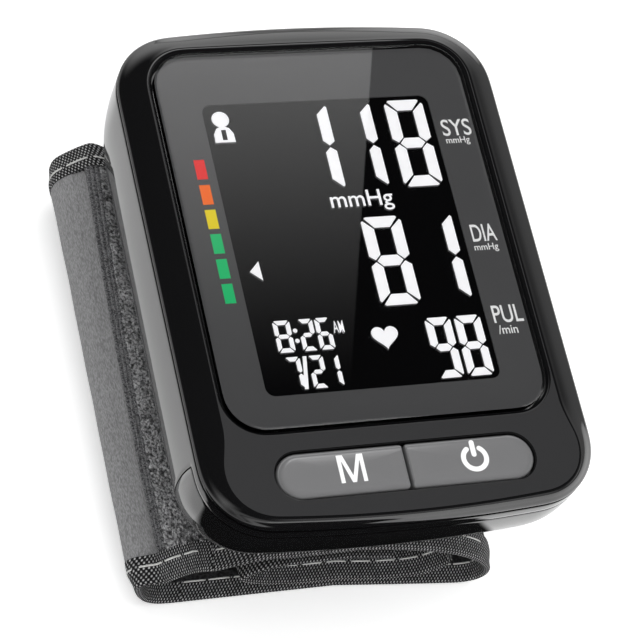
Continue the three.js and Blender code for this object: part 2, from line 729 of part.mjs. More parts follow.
function valveHose() {
  const startY = VALVE_START + VALVE_SIZE.y + NIPPLE_LENGTH + FIT;
  const startZ = floorZ + FIT + VALVE_SIZE.z / 2;
  const endX = manifoldLeft - NIPPLE_LENGTH - FIT;
  return tube([
    new THREE.Vector3(valveX, startY, startZ),
    new THREE.Vector3(valveX, MANIFOLD_CENTRE.y - 5.5, startZ),
    new THREE.Vector3(valveX + 1.2, MANIFOLD_CENTRE.y - 1.6, manifoldZ),
    new THREE.Vector3(valveX + 4.5, MANIFOLD_CENTRE.y, manifoldZ),
    new THREE.Vector3(endX, MANIFOLD_CENTRE.y, manifoldZ),
  ], HOSE_RADIUS);
}

function sensorHose() {
  const startX = SENSOR_CENTRE.x + SENSOR_SIZE.x / 2 + NIPPLE_LENGTH + FIT;
  const endX = MANIFOLD_CENTRE.x - MANIFOLD_SIZE.x / 4;
  const endY = manifoldBack + NIPPLE_LENGTH + FIT;
  return tube([
    new THREE.Vector3(startX, SENSOR_CENTRE.y, sensorNippleZ),
    new THREE.Vector3(startX + 3, SENSOR_CENTRE.y, sensorNippleZ),
    new THREE.Vector3(endX - 0.6, SENSOR_CENTRE.y + 2, (2 * sensorNippleZ + manifoldZ) / 3),
    new THREE.Vector3(endX, endY + 2.4, (sensorNippleZ + 2 * manifoldZ) / 3 - 0.4),
    new THREE.Vector3(endX, endY + 1.4, manifoldZ),
    new THREE.Vector3(endX, endY, manifoldZ),
  ], HOSE_RADIUS * 0.8);
}

function cuffPortTube() {
  const top = manifoldZ - MANIFOLD_SIZE.z / 2 - FIT;
  return rodZ(MANIFOLD_CENTRE.x, MANIFOLD_CENTRE.y, backZ - PORT_TIP_DEPTH, top, PORT_RADIUS, 16);
}

// Cuff: strips swept along a line seen from the lower end, outside of the loop on the left of travel
function strapLine(pairs) {
  return new THREE.CatmullRomCurve3(pairs.map(([x, z]) => new THREE.Vector3(x, 0, z)), false, "centripetal");
}

const strapHalf = STRAP_THICKNESS / 2;
const bandTop = backZ - FIT - COVER_THICKNESS - FIT / 2 - PUFF_OUT;
const bandRise = (share) => strapHalf + (bandTop - strapHalf) * share;
const bandLine = strapLine([
  [-26.5, bandTop + 2.65],
  [-24.5, bandTop + 2.75],
  [-20.5, bandTop + 2.15],
  [-16, bandTop + 1.05],
  [-11, bandTop + 0.5],
  [0, bandTop + 0.8],
  [8, bandTop + 0.4],
  [15, bandRise(0.92)],
  [20, bandRise(0.73)],
  [23.3, bandRise(0.5)],
  [24.5, bandRise(0.28)],
  [23.7, bandRise(0.11)],
  [21.4, bandRise(0.022)],
  [18, bandRise(0.004)],
  [12, strapHalf],
  [11, strapHalf],
  [0, strapHalf],
  [-24.5, strapHalf],
  [-26.7, strapHalf],
  [-28.1, bandRise(0.03)],
  [-29, bandRise(0.11)],
  [-29.3, bandRise(0.235)],
  [-29.3, bandRise(0.52)],
  [-29.1, bandRise(0.665)],
]);
const tabRise = (share) => strapHalf + (backZ - strapHalf) * share;
const tabLine = strapLine([
  [-31.5, tabRise(0.027)],
  [-32.7, tabRise(0.174)],
  [-33.8, tabRise(0.364)],
  [-34.2, tabRise(0.489)],
  [-33.7, tabRise(0.565)],
  [-32.6, tabRise(0.652)],
  [-30.9, tabRise(0.745)],
  [-29.2, tabRise(0.815)],
  [-27.6, tabRise(0.862)],
]);
const flapHalf = FLAP_THICKNESS / 2;
const flapFloor = STRAP_THICKNESS + FIT + flapHalf;
const flapRoof = bandTop - PUFF_IN - LINING_THICKNESS - FIT - flapHalf - FIT;
const flapRise = (share) => flapFloor + (flapRoof - flapFloor) * share;
const flapLine = strapLine([
  [15.4, flapRise(0.55)],
  [13, flapRise(0.16)],
  [8, flapFloor + 0.05],
  [0, flapFloor + 0.05],
  [-8, flapRise(0.06)],
  [-14, flapRise(0.31)],
  [-16.3, flapRise(0.6)],
  [-14, flapRise(0.92)],
  [-8, flapRoof],
  [0, flapRoof + 0.2],
  [7, flapRoof - 0.2],
]);

// Strip between two offsets from a line, the offsets being functions of the distance along and across it.
function strip(line, from, to, y0, y1, under, over, stepLength = 2.8, acrossSteps = 8) {
  const length = line.getLength();
  const steps = Math.max(4, Math.round((to - from) / stepLength));
  const rows = steps + 1;
  const columns = acrossSteps + 1;
  const positions = [];
  for (const side of [under, over]) {
    for (let i = 0; i < rows; i += 1) {
      const s = from + (to - from) * i / steps;
      const u = clamp01(s / length);
      const p = line.getPointAt(u);
      const t = line.getTangentAt(u);
      for (let j = 0; j < columns; j += 1) {
        const y = y0 + (y1 - y0) * j / acrossSteps;
        const offset = side(s, y);
        positions.push(p.x - t.z * offset, y, p.z + t.x * offset);
      }
    }
  }
  const top = rows * columns;
  const index = [];
  const quad = (a, b, c, d) => index.push(a, b, c, a, c, d);
  for (let i = 0; i < steps; i += 1) {
    for (let j = 0; j < acrossSteps; j += 1) {
      const a = i * columns + j;
      quad(a, a + 1, a + columns + 1, a + columns);
      quad(top + a, top + a + columns, top + a + columns + 1, top + a + 1);
    }
    const low = i * columns;
    const high = low + acrossSteps;
    quad(low, low + columns, top + low + columns, top + low);
    quad(high, top + high, top + high + columns, high + columns);
  }
  const last = steps * columns;
  for (let j = 0; j < acrossSteps; j += 1) {
    quad(j, top + j, top + j + 1, j + 1);
    quad(last + j, last + j + 1, top + last + j + 1, top + last + j);
  }
  const geometry = new THREE.BufferGeometry();
  geometry.setAttribute("position", new THREE.Float32BufferAttribute(positions, 3));
  geometry.setIndex(index);
  return solid(geometry);
}

// Across its width the padded part is fullest in the middle and pinched at the two bound edges.
function crown(y) {
  return 1 - Math.abs((y - CUFF_CENTRE_Y) / (CUFF_WIDTH / 2)) ** CROWN_POWER;
}

const bandLength = bandLine.getLength();
const paddingStart = 2.4;
const paddingFull = 14.4;
const paddingFade = 33.4;
const paddingEnd = 49.4;
const liningStart = 1;
const liningEnd = 48.4;
const puff = (s) => smooth(paddingStart, paddingFull, s) * (1 - smooth(paddingFade, paddingEnd, s));
const strapShare = (s) => smooth(liningEnd, liningEnd + 5, s);
const mix = (a, b, share) => a + (b - a) * share;
const halfFit = FIT / 2;
const coverUnder = (s, y) => mix(halfFit + PUFF_OUT * puff(s) * crown(y), -strapHalf, strapShare(s));
const coverOver = (s, y) => mix(
  halfFit + PUFF_OUT * puff(s) * crown(y) + COVER_THICKNESS, strapHalf, strapShare(s),
);
const liningOver = (s, y) => -halfFit - PUFF_IN * puff(s) * crown(y);
const liningUnder = (s, y) => liningOver(s, y) - LINING_THICKNESS;
const stiffenerOver = (s, y) => coverUnder(s, y) - 1.5 * FIT;
const stiffenerUnder = (s, y) => stiffenerOver(s, y) - STIFFENER_THICKNESS;
const bindingUnder = (s, y) => mix(liningUnder(s, y), -strapHalf, strapShare(s));

const clothLow = cuffLow + BINDING_DEPTH + FIT;
const clothHigh = cuffHigh - BINDING_DEPTH - FIT;
const studPlaces = [-1, 1].flatMap((sideX) => [-1, 1].map((sideY) => new THREE.Vector2(
  sideX * STUD_OFFSET.x, CUFF_CENTRE_Y + sideY * STUD_OFFSET.y,
)));

function cuffCover() {
  const cloth = strip(bandLine, 0, bandLength, clothLow, clothHigh, coverUnder, coverOver);
  const holes = studPlaces.map((p) => rodZ(p.x, p.y, bandTop, FACE_HEIGHT, STUD_RADIUS + FIT, 12));
  const { x, y } = MANIFOLD_CENTRE;
  return cut(cloth, ...holes, rodZ(x, y, bandTop, FACE_HEIGHT, PORT_RADIUS + FIT, 16));
}

function cuffStiffener() {
  const low = cuffLow + STIFFENER_MARGIN;
  const high = cuffHigh - STIFFENER_MARGIN;
  const sheet = strip(bandLine, paddingFull, paddingFade + 2, low, high, stiffenerUnder, stiffenerOver);
  const studs = studPlaces.map((p) => rodZ(
    p.x, p.y, bandTop + PUFF_OUT / 2 + 0.3, backZ + STUD_DEPTH, STUD_RADIUS, 12,
  ));
  const { x, y } = MANIFOLD_CENTRE;
  return cut(join(sheet, ...studs), rodZ(x, y, 0, FACE_HEIGHT, PORT_RADIUS + FIT, 16));
}

function airBladder() {
  const low = cuffLow + BLADDER_MARGIN;
  const high = cuffHigh - BLADDER_MARGIN;
  const under = (s, y) => liningOver(s, y) + FIT;
  const over = (s, y) => stiffenerUnder(s, y) - 1.5 * FIT;
  const pouch = strip(bandLine, paddingFull, paddingFade, low, high, under, over);
  const { x, y } = MANIFOLD_CENTRE;
  const studFeet = studPlaces.map((p) => rodZ(
    p.x, p.y, bandTop + PUFF_OUT / 2, FACE_HEIGHT, STUD_RADIUS + FIT, 12,
  ));
  return cut(
    pouch, ...studFeet,
    rodZ(x, y, backZ - PORT_TIP_DEPTH - FIT, FACE_HEIGHT, PORT_RADIUS + FIT, 16),
  );
}

function loopPatch() {
  const under = (s, y) => coverOver(s, y) + FIT;
  const over = (s, y) => under(s, y) + PATCH_THICKNESS;
  const low = cuffLow + PATCH_MARGIN;
  const high = cuffHigh - PATCH_MARGIN;
  const end = bandLength - LOOP_END_MARGIN;
  return strip(bandLine, end - LOOP_LENGTH, end, low, high, under, over, 1);
}

// Over the shoulder of the fold the tab twists: it lies higher at the display's top end.
const tabLength = tabLine.getLength();
const tabTwist = (s, y) => TAB_TWIST * (y - CUFF_CENTRE_Y) / (CUFF_WIDTH / 2)
  * smooth(0.5 * tabLength, 0.7 * tabLength, s) * (1 - smooth(0.8 * tabLength, tabLength, s));
const tabUnder = (s, y) => tabTwist(s, y) - strapHalf;
const tabOver = (s, y) => tabTwist(s, y) + strapHalf;

function hookPatch() {
  const under = (s, y) => tabUnder(s, y) - FIT - PATCH_THICKNESS;
  const over = (s, y) => tabUnder(s, y) - FIT;
  const low = cuffLow + PATCH_MARGIN;
  const high = cuffHigh - PATCH_MARGIN;
  return strip(tabLine, HOOK_START, HOOK_START + HOOK_LENGTH, low, high, under, over, 1);
}

// The inner flap's upper layer follows the lining up towards the pinched edges.
const flapLength = flapLine.getLength();
const flapLift = (s, y) => PUFF_IN * (1 - crown(y)) * smooth(flapLength * 0.55, flapLength * 0.72, s);
const flapUnder = (s, y) => flapLift(s, y) - flapHalf;
const flapOver = (s, y) => flapLift(s, y) + flapHalf;

const edges = [
  { end: "lower", from: cuffLow, to: cuffLow + BINDING_DEPTH },
  { end: "upper", from: cuffHigh - BINDING_DEPTH, to: cuffHigh },
];

function binding(line, edge, under, over) {
  return strip(line, 0, line.getLength(), edge.from, edge.to, under, over, 2.8, 2);
}

// Assembly
function group(...meshes) {
  const made = new THREE.Group();
  made.add(...meshes);
  return made;
}

const display = group(
  piece("display_window", windowPlate(0, windowUnder, FACE_HEIGHT), clearWindow()),
  piece("window_mask", windowMask(), greyPrint()),
  piece("lcd_panel", box(
    -lcdHalfX, lcdHalfX, viewY - lcdHalfY, viewY + lcdHalfY, lcdTop - LCD_THICKNESS, lcdTop,
  ), darkGlass()),
  piece("lcd_frame", lcdFrame(), whitePlastic()),
  piece("backlight_guide", box(
    -guideHalfX, guideHalfX, guideLow, guideHigh, guideTop - GUIDE_THICKNESS, guideTop,
  ), whitePlastic()),
  piece("lcd_contact_strip", box(
    -guideHalfX, guideHalfX, guideLow - FIT - STRIP_WIDTH, guideLow - FIT, boardTop + FIT, guideTop,
  ), blackRubber()),
);

const controls = group(
  piece("main_board", mainBoard(), boardGreen()),
  piece("controller_chip", controllerChip(), blackRubber()),
  piece("memory_button", buttonCap(-1), greyButton()),
  piece("memory_switch", buttonSwitch(-1), blackRubber()),
  piece("power_button", buttonCap(1), greyButton()),
  piece("power_switch", buttonSwitch(1), blackRubber()),
);

const shell = group(
  piece("front_cover", frontCover(), glossBlack()),
  piece("back_cover", backCover(), glossBlack()),
  piece("battery_door", batteryDoor(), glossBlack()),
);
screwPlaces.forEach((place, i) => {
  const screw = piece(`case_screw_${i + 1}`, caseScrew(), steel());
  screw.position.set(place.x, place.y, screwSeat - FIT);
  shell.add(screw);
});

const power = group(
  piece("battery_cradle", batteryCradle(), blackRubber()),
  piece("battery_left", cell(-cellSpacing / 2, false), cellJacket()),
  piece("battery_right", cell(cellSpacing / 2, true), cellJacket()),
  piece("battery_spring", batterySpring(), steel()),
  piece("battery_dimple_contact", dimpleContact(), steel()),
  piece("battery_bridge_contact", bridgeContact(), steel()),
);

const airCircuit = group(
  piece("pump_motor", pumpMotor(), steel()),
  piece("pump_head", pumpHead(), whitePlastic()),
  piece("exhaust_valve", exhaustValve(), whitePlastic()),
  piece("air_manifold", airManifold(), whitePlastic()),
  piece("pressure_sensor", pressureSensor(), whitePlastic()),
  piece("pump_hose", pumpHose(), siliconeHose()),
  piece("valve_hose", valveHose(), siliconeHose()),
  piece("sensor_hose", sensorHose(), siliconeHose()),
  piece("cuff_port_tube", cuffPortTube(), siliconeHose()),
);

const cuff = group(
  piece("cuff_cover", cuffCover(), darkFabric()),
  piece("cuff_lining", strip(
    bandLine, liningStart, liningEnd - 1, clothLow, clothHigh, liningUnder, liningOver,
  ), darkFabric()),
  piece("cuff_stiffener", cuffStiffener(), whitePlastic()),
  piece("air_bladder", airBladder(), bladderFilm()),
  piece("loop_patch", loopPatch(), darkFabric()),
  piece("hook_patch", hookPatch(), blackRubber()),
  piece("closure_tab", strip(
    tabLine, 0, tabLength, clothLow, clothHigh, tabUnder, tabOver, 1.4,
  ), tabFabric()),
  piece("inner_flap", strip(
    flapLine, 0, flapLength, clothLow, clothHigh, flapUnder, flapOver,
  ), darkFabric()),
);
for (const edge of edges) {
  cuff.add(
    piece(`cuff_binding_${edge.end}`, binding(bandLine, edge, bindingUnder, coverOver), darkFabric()),
    piece(`tab_binding_${edge.end}`, binding(tabLine, edge, tabUnder, tabOver), darkFabric()),
    piece(`flap_binding_${edge.end}`, binding(flapLine, edge, flapUnder, flapOver), darkFabric()),
  );
}

export default group(shell, display, controls, power, airCircuit, cuff);
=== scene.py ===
import json

import bmesh
import bpy
import numpy as np
from mathutils import Matrix


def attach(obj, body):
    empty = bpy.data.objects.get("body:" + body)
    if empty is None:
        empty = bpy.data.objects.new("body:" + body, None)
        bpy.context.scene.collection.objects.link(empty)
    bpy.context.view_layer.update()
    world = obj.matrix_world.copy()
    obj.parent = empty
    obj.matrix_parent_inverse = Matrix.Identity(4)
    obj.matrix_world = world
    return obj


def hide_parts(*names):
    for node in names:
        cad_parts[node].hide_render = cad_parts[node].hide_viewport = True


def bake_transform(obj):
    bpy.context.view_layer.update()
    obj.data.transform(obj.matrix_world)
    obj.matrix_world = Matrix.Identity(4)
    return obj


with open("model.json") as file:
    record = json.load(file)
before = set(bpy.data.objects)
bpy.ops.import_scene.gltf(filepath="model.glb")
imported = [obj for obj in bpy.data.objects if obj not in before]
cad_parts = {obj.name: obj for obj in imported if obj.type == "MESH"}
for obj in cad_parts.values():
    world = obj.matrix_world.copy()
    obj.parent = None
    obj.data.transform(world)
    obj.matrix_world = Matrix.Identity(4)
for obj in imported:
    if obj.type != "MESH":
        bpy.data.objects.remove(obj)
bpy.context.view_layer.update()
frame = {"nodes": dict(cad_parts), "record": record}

# The monitor is looked at from above its lower left corner with a long lens.
# The lens and the place were worked out from the corners of the display.
MM = 0.001
lens = bpy.data.cameras.new("camera")
lens.lens = 157.7
lens.sensor_width = 36.0


def put(name, data):
    """A new object that holds some data, put into the scene."""
    made = bpy.data.objects.new(name, data)
    bpy.context.scene.collection.objects.link(made)
    return made


camera = put("camera", lens)
camera.matrix_world = Matrix((
    (0.9402, 0.0708, -0.3333, -147.36 * MM),
    (-0.2132, 0.8851, -0.4136, -182.84 * MM),
    (0.2657, 0.4599, 0.8473, 397.04 * MM),
    (0.0, 0.0, 0.0, 1.0),
))
bpy.context.scene.camera = camera
bpy.context.scene.view_settings.view_transform = "Standard"


# Back cover: the deep tub of the case, injection moulded in glossy black plastic.
# Its walls draw in towards the wrist, its floor is slightly arched, and a rim under the
# parting line runs all the way round.
def tone(*levels):
    """Display levels of 0 to 255 as the linear colour that a shader takes."""
    share = np.array(levels, float) / 255
    linear = np.where(share <= 0.04045, share / 12.92, ((share + 0.055) / 1.055) ** 2.4)
    return (*(float(v) for v in linear), 1.0)


def new_material(name, colour, roughness, **sockets):
    """A material with one Principled shader; other sockets are named with _ for a space."""
    made = bpy.data.materials.new(name)
    made.use_nodes = True
    shader = made.node_tree.nodes["Principled BSDF"]
    shader.inputs["Base Color"].default_value = colour
    shader.inputs["Roughness"].default_value = roughness
    for socket, value in sockets.items():
        shader.inputs[socket.replace("_", " ")].default_value = value
    return made


def new_group(name, inputs, outputs):
    """A shader node group with float, vector or colour sockets, and its two end nodes."""
    kinds = {"float": "NodeSocketFloat", "vector": "NodeSocketVector", "colour": "NodeSocketColor"}
    tree = bpy.data.node_groups.new(name, "ShaderNodeTree")
    for side, sockets in (("INPUT", inputs), ("OUTPUT", outputs)):
        for label, kind in sockets:
            tree.interface.new_socket(label, in_out=side, socket_type=kinds[kind])
    return tree, tree.nodes.new("NodeGroupInput"), tree.nodes.new("NodeGroupOutput")


def wire(tree, kind, sockets, **options):
    """Adds a node, sets its options, and feeds each socket with a value or another socket."""
    node = tree.nodes.new(kind)
    for option, value in options.items():
        setattr(node, option, value)
    for socket, value in sockets.items():
        if isinstance(value, bpy.types.NodeSocket):
            tree.links.new(value, node.inputs[socket])
        else:
            node.inputs[socket].default_value = value
    return node


def sums(tree, operation, first, second=0.0, third=0.0):
    """One Math node on up to three values or sockets."""
    return wire(tree, "ShaderNodeMath", {0: first, 1: second, 2: third}, operation=operation).outputs[0]


def band(tree, value, low, high, start=0.0, end=1.0):
    """A smooth step of value from low to high, put out between start and end."""
    made = wire(tree, "ShaderNodeMapRange", {
        "Value": value, "From Min": low, "From Max": high, "To Min": start, "To Max": end,
    }, interpolation_type="SMOOTHSTEP")
    return made.outputs[0]


def noise(tree, place, scale, detail, **more):
    """Fractal noise at a place, by its scale and detail."""
    sockets = {"Vector": place, "Scale": scale, "Detail": detail, **more}
    return wire(tree, "ShaderNodeTexNoise", sockets).outputs["Fac"]


def own_place(tree):
    """Each point's place in its object's own coordinates."""
    return tree.nodes.new("ShaderNodeTexCoord").outputs["Object"]


# Moulded skin: fine grain for the bump, and broad soft smears that vary the gloss.
moulded_skin, skin_in, skin_out = new_group(
    "moulded_skin",
    [("Vector", "vector"), ("Grain", "float"), ("Low gloss", "float"), ("High gloss", "float")],
    [("Roughness", "float"), ("Height", "float")],
)
skin_grain = noise(moulded_skin, skin_in.outputs["Vector"], skin_in.outputs["Grain"], 3.0)
skin_smear = noise(moulded_skin, skin_in.outputs["Vector"], 45.0, 4.0, Roughness=0.6)
skin_gloss = band(
    moulded_skin, skin_smear, 0.3, 0.75, skin_in.outputs["High gloss"], skin_in.outputs["Low gloss"],
)
moulded_skin.links.new(skin_gloss, skin_out.inputs["Roughness"])
moulded_skin.links.new(skin_grain, skin_out.inputs["Height"])


def skin(name, levels, roughness, grain, low, high, depth, **sockets):
    """A moulded material: grain per metre, gloss between two roughnesses, and the depth of its bump."""
    made = new_material(name, tone(*levels), roughness, **sockets)
    tree = made.node_tree
    shader = tree.nodes["Principled BSDF"]
    effect = wire(tree, "ShaderNodeGroup", {
        "Vector": own_place(tree), "Grain": grain, "Low gloss": low, "High gloss": high,
    }, node_tree=moulded_skin)
    bump = wire(tree, "ShaderNodeBump", {
        "Height": effect.outputs["Height"], "Strength": depth, "Distance": 0.2 * MM,
    })
    tree.links.new(effect.outputs["Roughness"], shader.inputs["Roughness"])
    tree.links.new(bump.outputs["Normal"], shader.inputs["Normal"])
    return made


def grid_faces(rows, columns, first, closed):
    """Quads of a grid of points numbered from first; a closed grid joins its last column to its first."""
    row, column = np.meshgrid(np.arange(rows - 1), np.arange(columns - (not closed)), indexing="ij")
    after = (column + 1) % columns
    corners = [row * columns + column, row * columns + after]
    corners += [(row + 1) * columns + after, (row + 1) * columns + column]
    return (first + np.stack(corners, -1)).reshape(-1, 4).tolist()


def patch(points, closed=False, caps=(), finish=0, uv=None):
    """One grid of points in mm for a piece; caps names the rows that are closed by one flat face."""
    return {"points": points, "closed": closed, "caps": caps, "finish": finish, "uv": uv}


def make_piece(name, patches, finishes, crease=38.0, fills=()):
    """One object from grids: corners that meet are welded, faces look outwards, and edges that turn by
    more than crease degrees stay sharp. fills are (height, finish) of flat faces between open rims."""
    places, faces, marks, flat = [], [], [], []
    count = 0
    for part in patches:
        rows, columns = part["points"].shape[:2]
        quads = grid_faces(rows, columns, count, part["closed"])
        for row in part["caps"]:
            start = count + (row % rows) * columns
            quads.append(list(range(start, start + columns)))
        places.append(part["points"].reshape(-1, 3))
        flat.append(np.zeros((rows * columns, 2)) if part["uv"] is None else part["uv"].reshape(-1, 2))
        marks += [part["finish"]] * len(quads)
        faces += quads
        count += rows * columns
    mesh = bpy.data.meshes.new(name)
    mesh.from_pydata((np.concatenate(places) * MM).tolist(), [], faces)
    mesh.polygons.foreach_set("material_index", marks)
    if any(part["uv"] is not None for part in patches):
        corner = np.zeros(len(mesh.loops), np.int32)
        mesh.loops.foreach_get("vertex_index", corner)
        mesh.uv_layers.new(name="cloth").data.foreach_set("uv", np.concatenate(flat)[corner].ravel())
    work = bmesh.new()
    work.from_mesh(mesh)
    bmesh.ops.remove_doubles(work, verts=work.verts, dist=0.002 * MM)
    bmesh.ops.dissolve_degenerate(work, edges=work.edges, dist=0.0005 * MM)
    rims = []
    for height, finish in fills:
        level = height * MM
        rim = [e for e in work.edges if e.is_boundary and all(abs(v.co.z - level) < 1e-6 for v in e.verts)]
        made = bmesh.ops.triangle_fill(work, use_beauty=True, use_dissolve=False, edges=rim)
        for face in made["geom"]:
            if isinstance(face, bmesh.types.BMFace):
                face.material_index = finish
        rims += rim
    bmesh.ops.recalc_face_normals(work, faces=work.faces)
    nowhere = work.faces[:][0].normal * 0
    centre = sum((f.calc_center_median() for f in work.faces), start=nowhere) / len(work.faces)
    if sum(f.calc_area() * f.normal.dot(f.calc_center_median() - centre) for f in work.faces) < 0:
        bmesh.ops.reverse_faces(work, faces=work.faces)
    for face in work.faces:
        face.smooth = True
    for edge in work.edges:
        edge.smooth = edge.calc_face_angle(0.0) < np.radians(crease)
    for edge in rims:
        if edge.is_valid:
            edge.smooth = False
    work.to_mesh(mesh)
    work.free()
    for finish in finishes:
        mesh.materials.append(finish)
    return put(name, mesh)


def walled(made):
    """Gives an open surface a wall on its inner side and rounds the edges of that wall."""
    wall = made.modifiers.new("wall", "SOLIDIFY")
    wall.thickness = WALL * MM
    wall.offset = -1.0
    wall.use_even_offset = True
    edge = made.modifiers.new("edge", "BEVEL")
    edge.width = WALL_EDGE * MM
    edge.segments = 2
    edge.limit_method = "ANGLE"
    edge.angle_limit = np.radians(50)


HALF_WIDTH = 31.0
HALF_LENGTH = 42.8
CORNER = 10.5
END_BOW = 0.8
RIM_Z = 39.9
BACK_Z = 19.6
SIDE_TUCK = 4.5
END_TUCK = 9.0
DOOR_TOP = 38.1
DOOR_EDGE = -28.3
DOOR_ARC = 34.0
FLOOR_BEND = 1.8
ARCH_HALF = 20
ARCH_RISE = 1
ARCH_SPREAD = 401
WALL = 1.8
WALL_EDGE = 0.22
COVER_COLUMNS = 120
DOOR_COLUMNS = 44


def half_outline(half_x, top, low, radius, bow_top, bow_low):
    """Right half of a rounded rectangle from its top middle to its bottom middle: each short end is a
    parabola of height bow, each corner a quarter circle, each side straight, all lightly eased."""
    half_x, top, low = (np.reshape(np.asarray(v, float), (-1, 1)) for v in (half_x, top, low))
    share = np.linspace(0, 1, 24, endpoint=False)
    turn = np.linspace(np.pi / 2, 0, 26, endpoint=False)
    along = np.linspace(0, 1, 72, endpoint=False)
    edge_x = half_x - radius
    high_y = top - bow_top - radius
    low_y = low + bow_low + radius
    x = [edge_x * share, edge_x + radius * np.cos(turn), half_x + 0 * along]
    x += [edge_x + radius * np.sin(turn), edge_x * (1 - np.append(share, 1))]
    y = [top - bow_top * share ** 2, high_y + radius * np.sin(turn), high_y + (low_y - high_y) * along]
    y += [low_y - radius * np.cos(turn), low + bow_low * (1 - np.append(share, 1)) ** 2]
    points = np.stack([np.concatenate(x, 1), np.concatenate(y, 1)], -1)
    for _ in range(6):
        points[:, 1:-1] = (points[:, :-2] + 2 * points[:, 1:-1] + points[:, 2:]) / 4
    return points


def back_levels(start):
    """Side and end tuck and height of the tub's rings from a start height down: the tuck grows with the
    sixth (side) and third (end) power of the depth, then bends into the flat underside."""
    full = RIM_Z - BACK_Z
    depth = np.linspace((RIM_Z - start) / full, 0.95, 30)
    rings = np.stack([SIDE_TUCK * depth ** 6, END_TUCK * depth ** 3, RIM_Z - full * depth], 1)
    bend = np.linspace(0, 1, 8)[1:, None]
    foot = np.array([SIDE_TUCK, END_TUCK, BACK_Z])
    inner = foot + [FLOOR_BEND, FLOOR_BEND, 0]
    return np.vstack([rings, (1 - bend) ** 2 * rings[-1] + 2 * bend * (1 - bend) * foot + bend ** 2 * inner])


def door_seam(z):
    """The arched seam of the battery door, as the y at a height: an arc of a large circle."""
    middle = (DOOR_TOP + BACK_Z) / 2
    return DOOR_EDGE - DOOR_ARC + np.sqrt(DOOR_ARC ** 2 - (z - middle) ** 2)


def arched(x, z):
    """Lifts heights that lie under the arched floor onto it."""
    return np.maximum(z, np.where(np.abs(x) < ARCH_HALF, BACK_Z + ARCH_RISE - x ** 2 / ARCH_SPREAD, z))


def split_rings(rings, seam):
    """Each ring's right half, cut where it passes the seam's y, and both parts respaced evenly."""
    halves = half_outline(HALF_WIDTH - rings[:, 0], HALF_LENGTH - rings[:, 1], rings[:, 1] - HALF_LENGTH,
                          CORNER, END_BOW, END_BOW)
    parts = []
    for half, z, y in zip(halves, rings[:, 2], seam):
        run = np.append(0, np.cumsum(np.hypot(*np.diff(half, axis=0).T)))
        at = np.interp(-y, -half[:, 1], run)
        stops = np.append(np.linspace(0, at, COVER_COLUMNS), np.linspace(at, run[-1], DOOR_COLUMNS)[1:])
        x, y = np.interp(stops, run, half[:, 0]), np.interp(stops, run, half[:, 1])
        parts.append(np.stack([x, y, arched(x, np.full_like(x, z))], -1))
    return np.array(parts)


def both_sides(right):
    """Right-hand columns from the middle outwards, joined to their mirror images on the left."""
    left = right * [-1, 1, 1]
    return np.concatenate([right[:, ::-1], left[:, 1:]], 1)


def floor_between(edge):
    """Underside as lines straight across from a right-hand edge to its mirror image, on the arch."""
    share = np.linspace(1, -1, 31)[None, :]
    x = edge[:, :1] * share
    z = arched(x, edge[:, 2:] + 0 * x)
    return np.stack([x, edge[:, 1:2] + 0 * x, z], -1)


gloss_black = skin(
    "gloss_black", (15, 15, 16), 0.06, 260.0, 0.05, 0.035, 0.0005,
    IOR=1.6, Coat_Weight=1.0, Coat_Roughness=0.03,
)
rim_levels = back_levels(RIM_Z)[:1] + np.array([[0, 0, 0], [0, 0, -0.6], [0, 0, -1.2], [0, 0, -1.8]])
rim_seam = np.full(len(rim_levels), door_seam(DOOR_TOP))
rim_right = split_rings(rim_levels, rim_seam)
rim_left = rim_right * [-1, 1, 1]
rim_band = np.concatenate([rim_right, rim_left[:, -2:0:-1]], 1)
tub_levels = back_levels(DOOR_TOP)
tub_levels[0, :2] = 0
tub_seam = door_seam(np.maximum(tub_levels[:, 2], BACK_Z))
tub_right = split_rings(tub_levels, tub_seam)[:, :COVER_COLUMNS]
back_cover = make_piece("back_tub", [
    patch(rim_band, closed=True),
    patch(both_sides(tub_right)),
    patch(floor_between(tub_right[-1])),
], [gloss_black])
walled(back_cover)
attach(back_cover, "case")
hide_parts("back_cover")

# Battery door: the lower end of the tub, moulded in the same black plastic.
# It slides off the end of the case, and two tongues under its edge hold it in the floor.
DOOR_GAP = 0.25
door_levels = back_levels(DOOR_TOP - DOOR_GAP)
door_line = door_seam(np.maximum(door_levels[:, 2], BACK_Z)) - DOOR_GAP
door_right = split_rings(door_levels, door_line)[:, COVER_COLUMNS - 1:]
door_left = door_right * [-1, 1, 1]
door_wrap = np.concatenate([door_right, door_left[:, -2::-1]], 1)
battery_door = make_piece("battery_lid", [
    patch(door_wrap),
    patch(floor_between(door_right[-1])),
], [gloss_black])
walled(battery_door)
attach(battery_door, "battery_door")
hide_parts("battery_door")


def tongue(x):
    """Flat tongue: a rounded box section carried along the length, narrower at both ends."""
    y = np.array([-34.0, -33.6, -30, -25.6, -24.5])[:, None]
    width = np.array([2.6, 3, 3, 2.9, 2.3])[:, None]
    corner = np.linspace(0, 2 * np.pi, 16, endpoint=False)[None, :]
    across = np.sign(np.cos(corner)) * np.abs(np.cos(corner)) ** 0.4
    up = np.sign(np.sin(corner)) * np.abs(np.sin(corner)) ** 0.4
    return np.stack([x + width * across, y + 0 * across, 22.95 + 0.42 * up + 0 * y], -1)


door_tongues = make_piece("battery_lid_tongues", [
    patch(tongue(-18.0), closed=True, caps=(0, -1)),
    patch(tongue(18.0), closed=True, caps=(0, -1)),
], [gloss_black])
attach(door_tongues, "battery_door")

# Works inside the case: two cells in their cradle with plated contacts, the air pump, valve,
# pressure sensor and silicone hoses, and the circuit board. They show when the door is off.


def recoat(node, finish):
    """Gives a piece of the CAD model that shows as it is a new finish."""
    node.data.materials.clear()
    node.data.materials.append(finish)


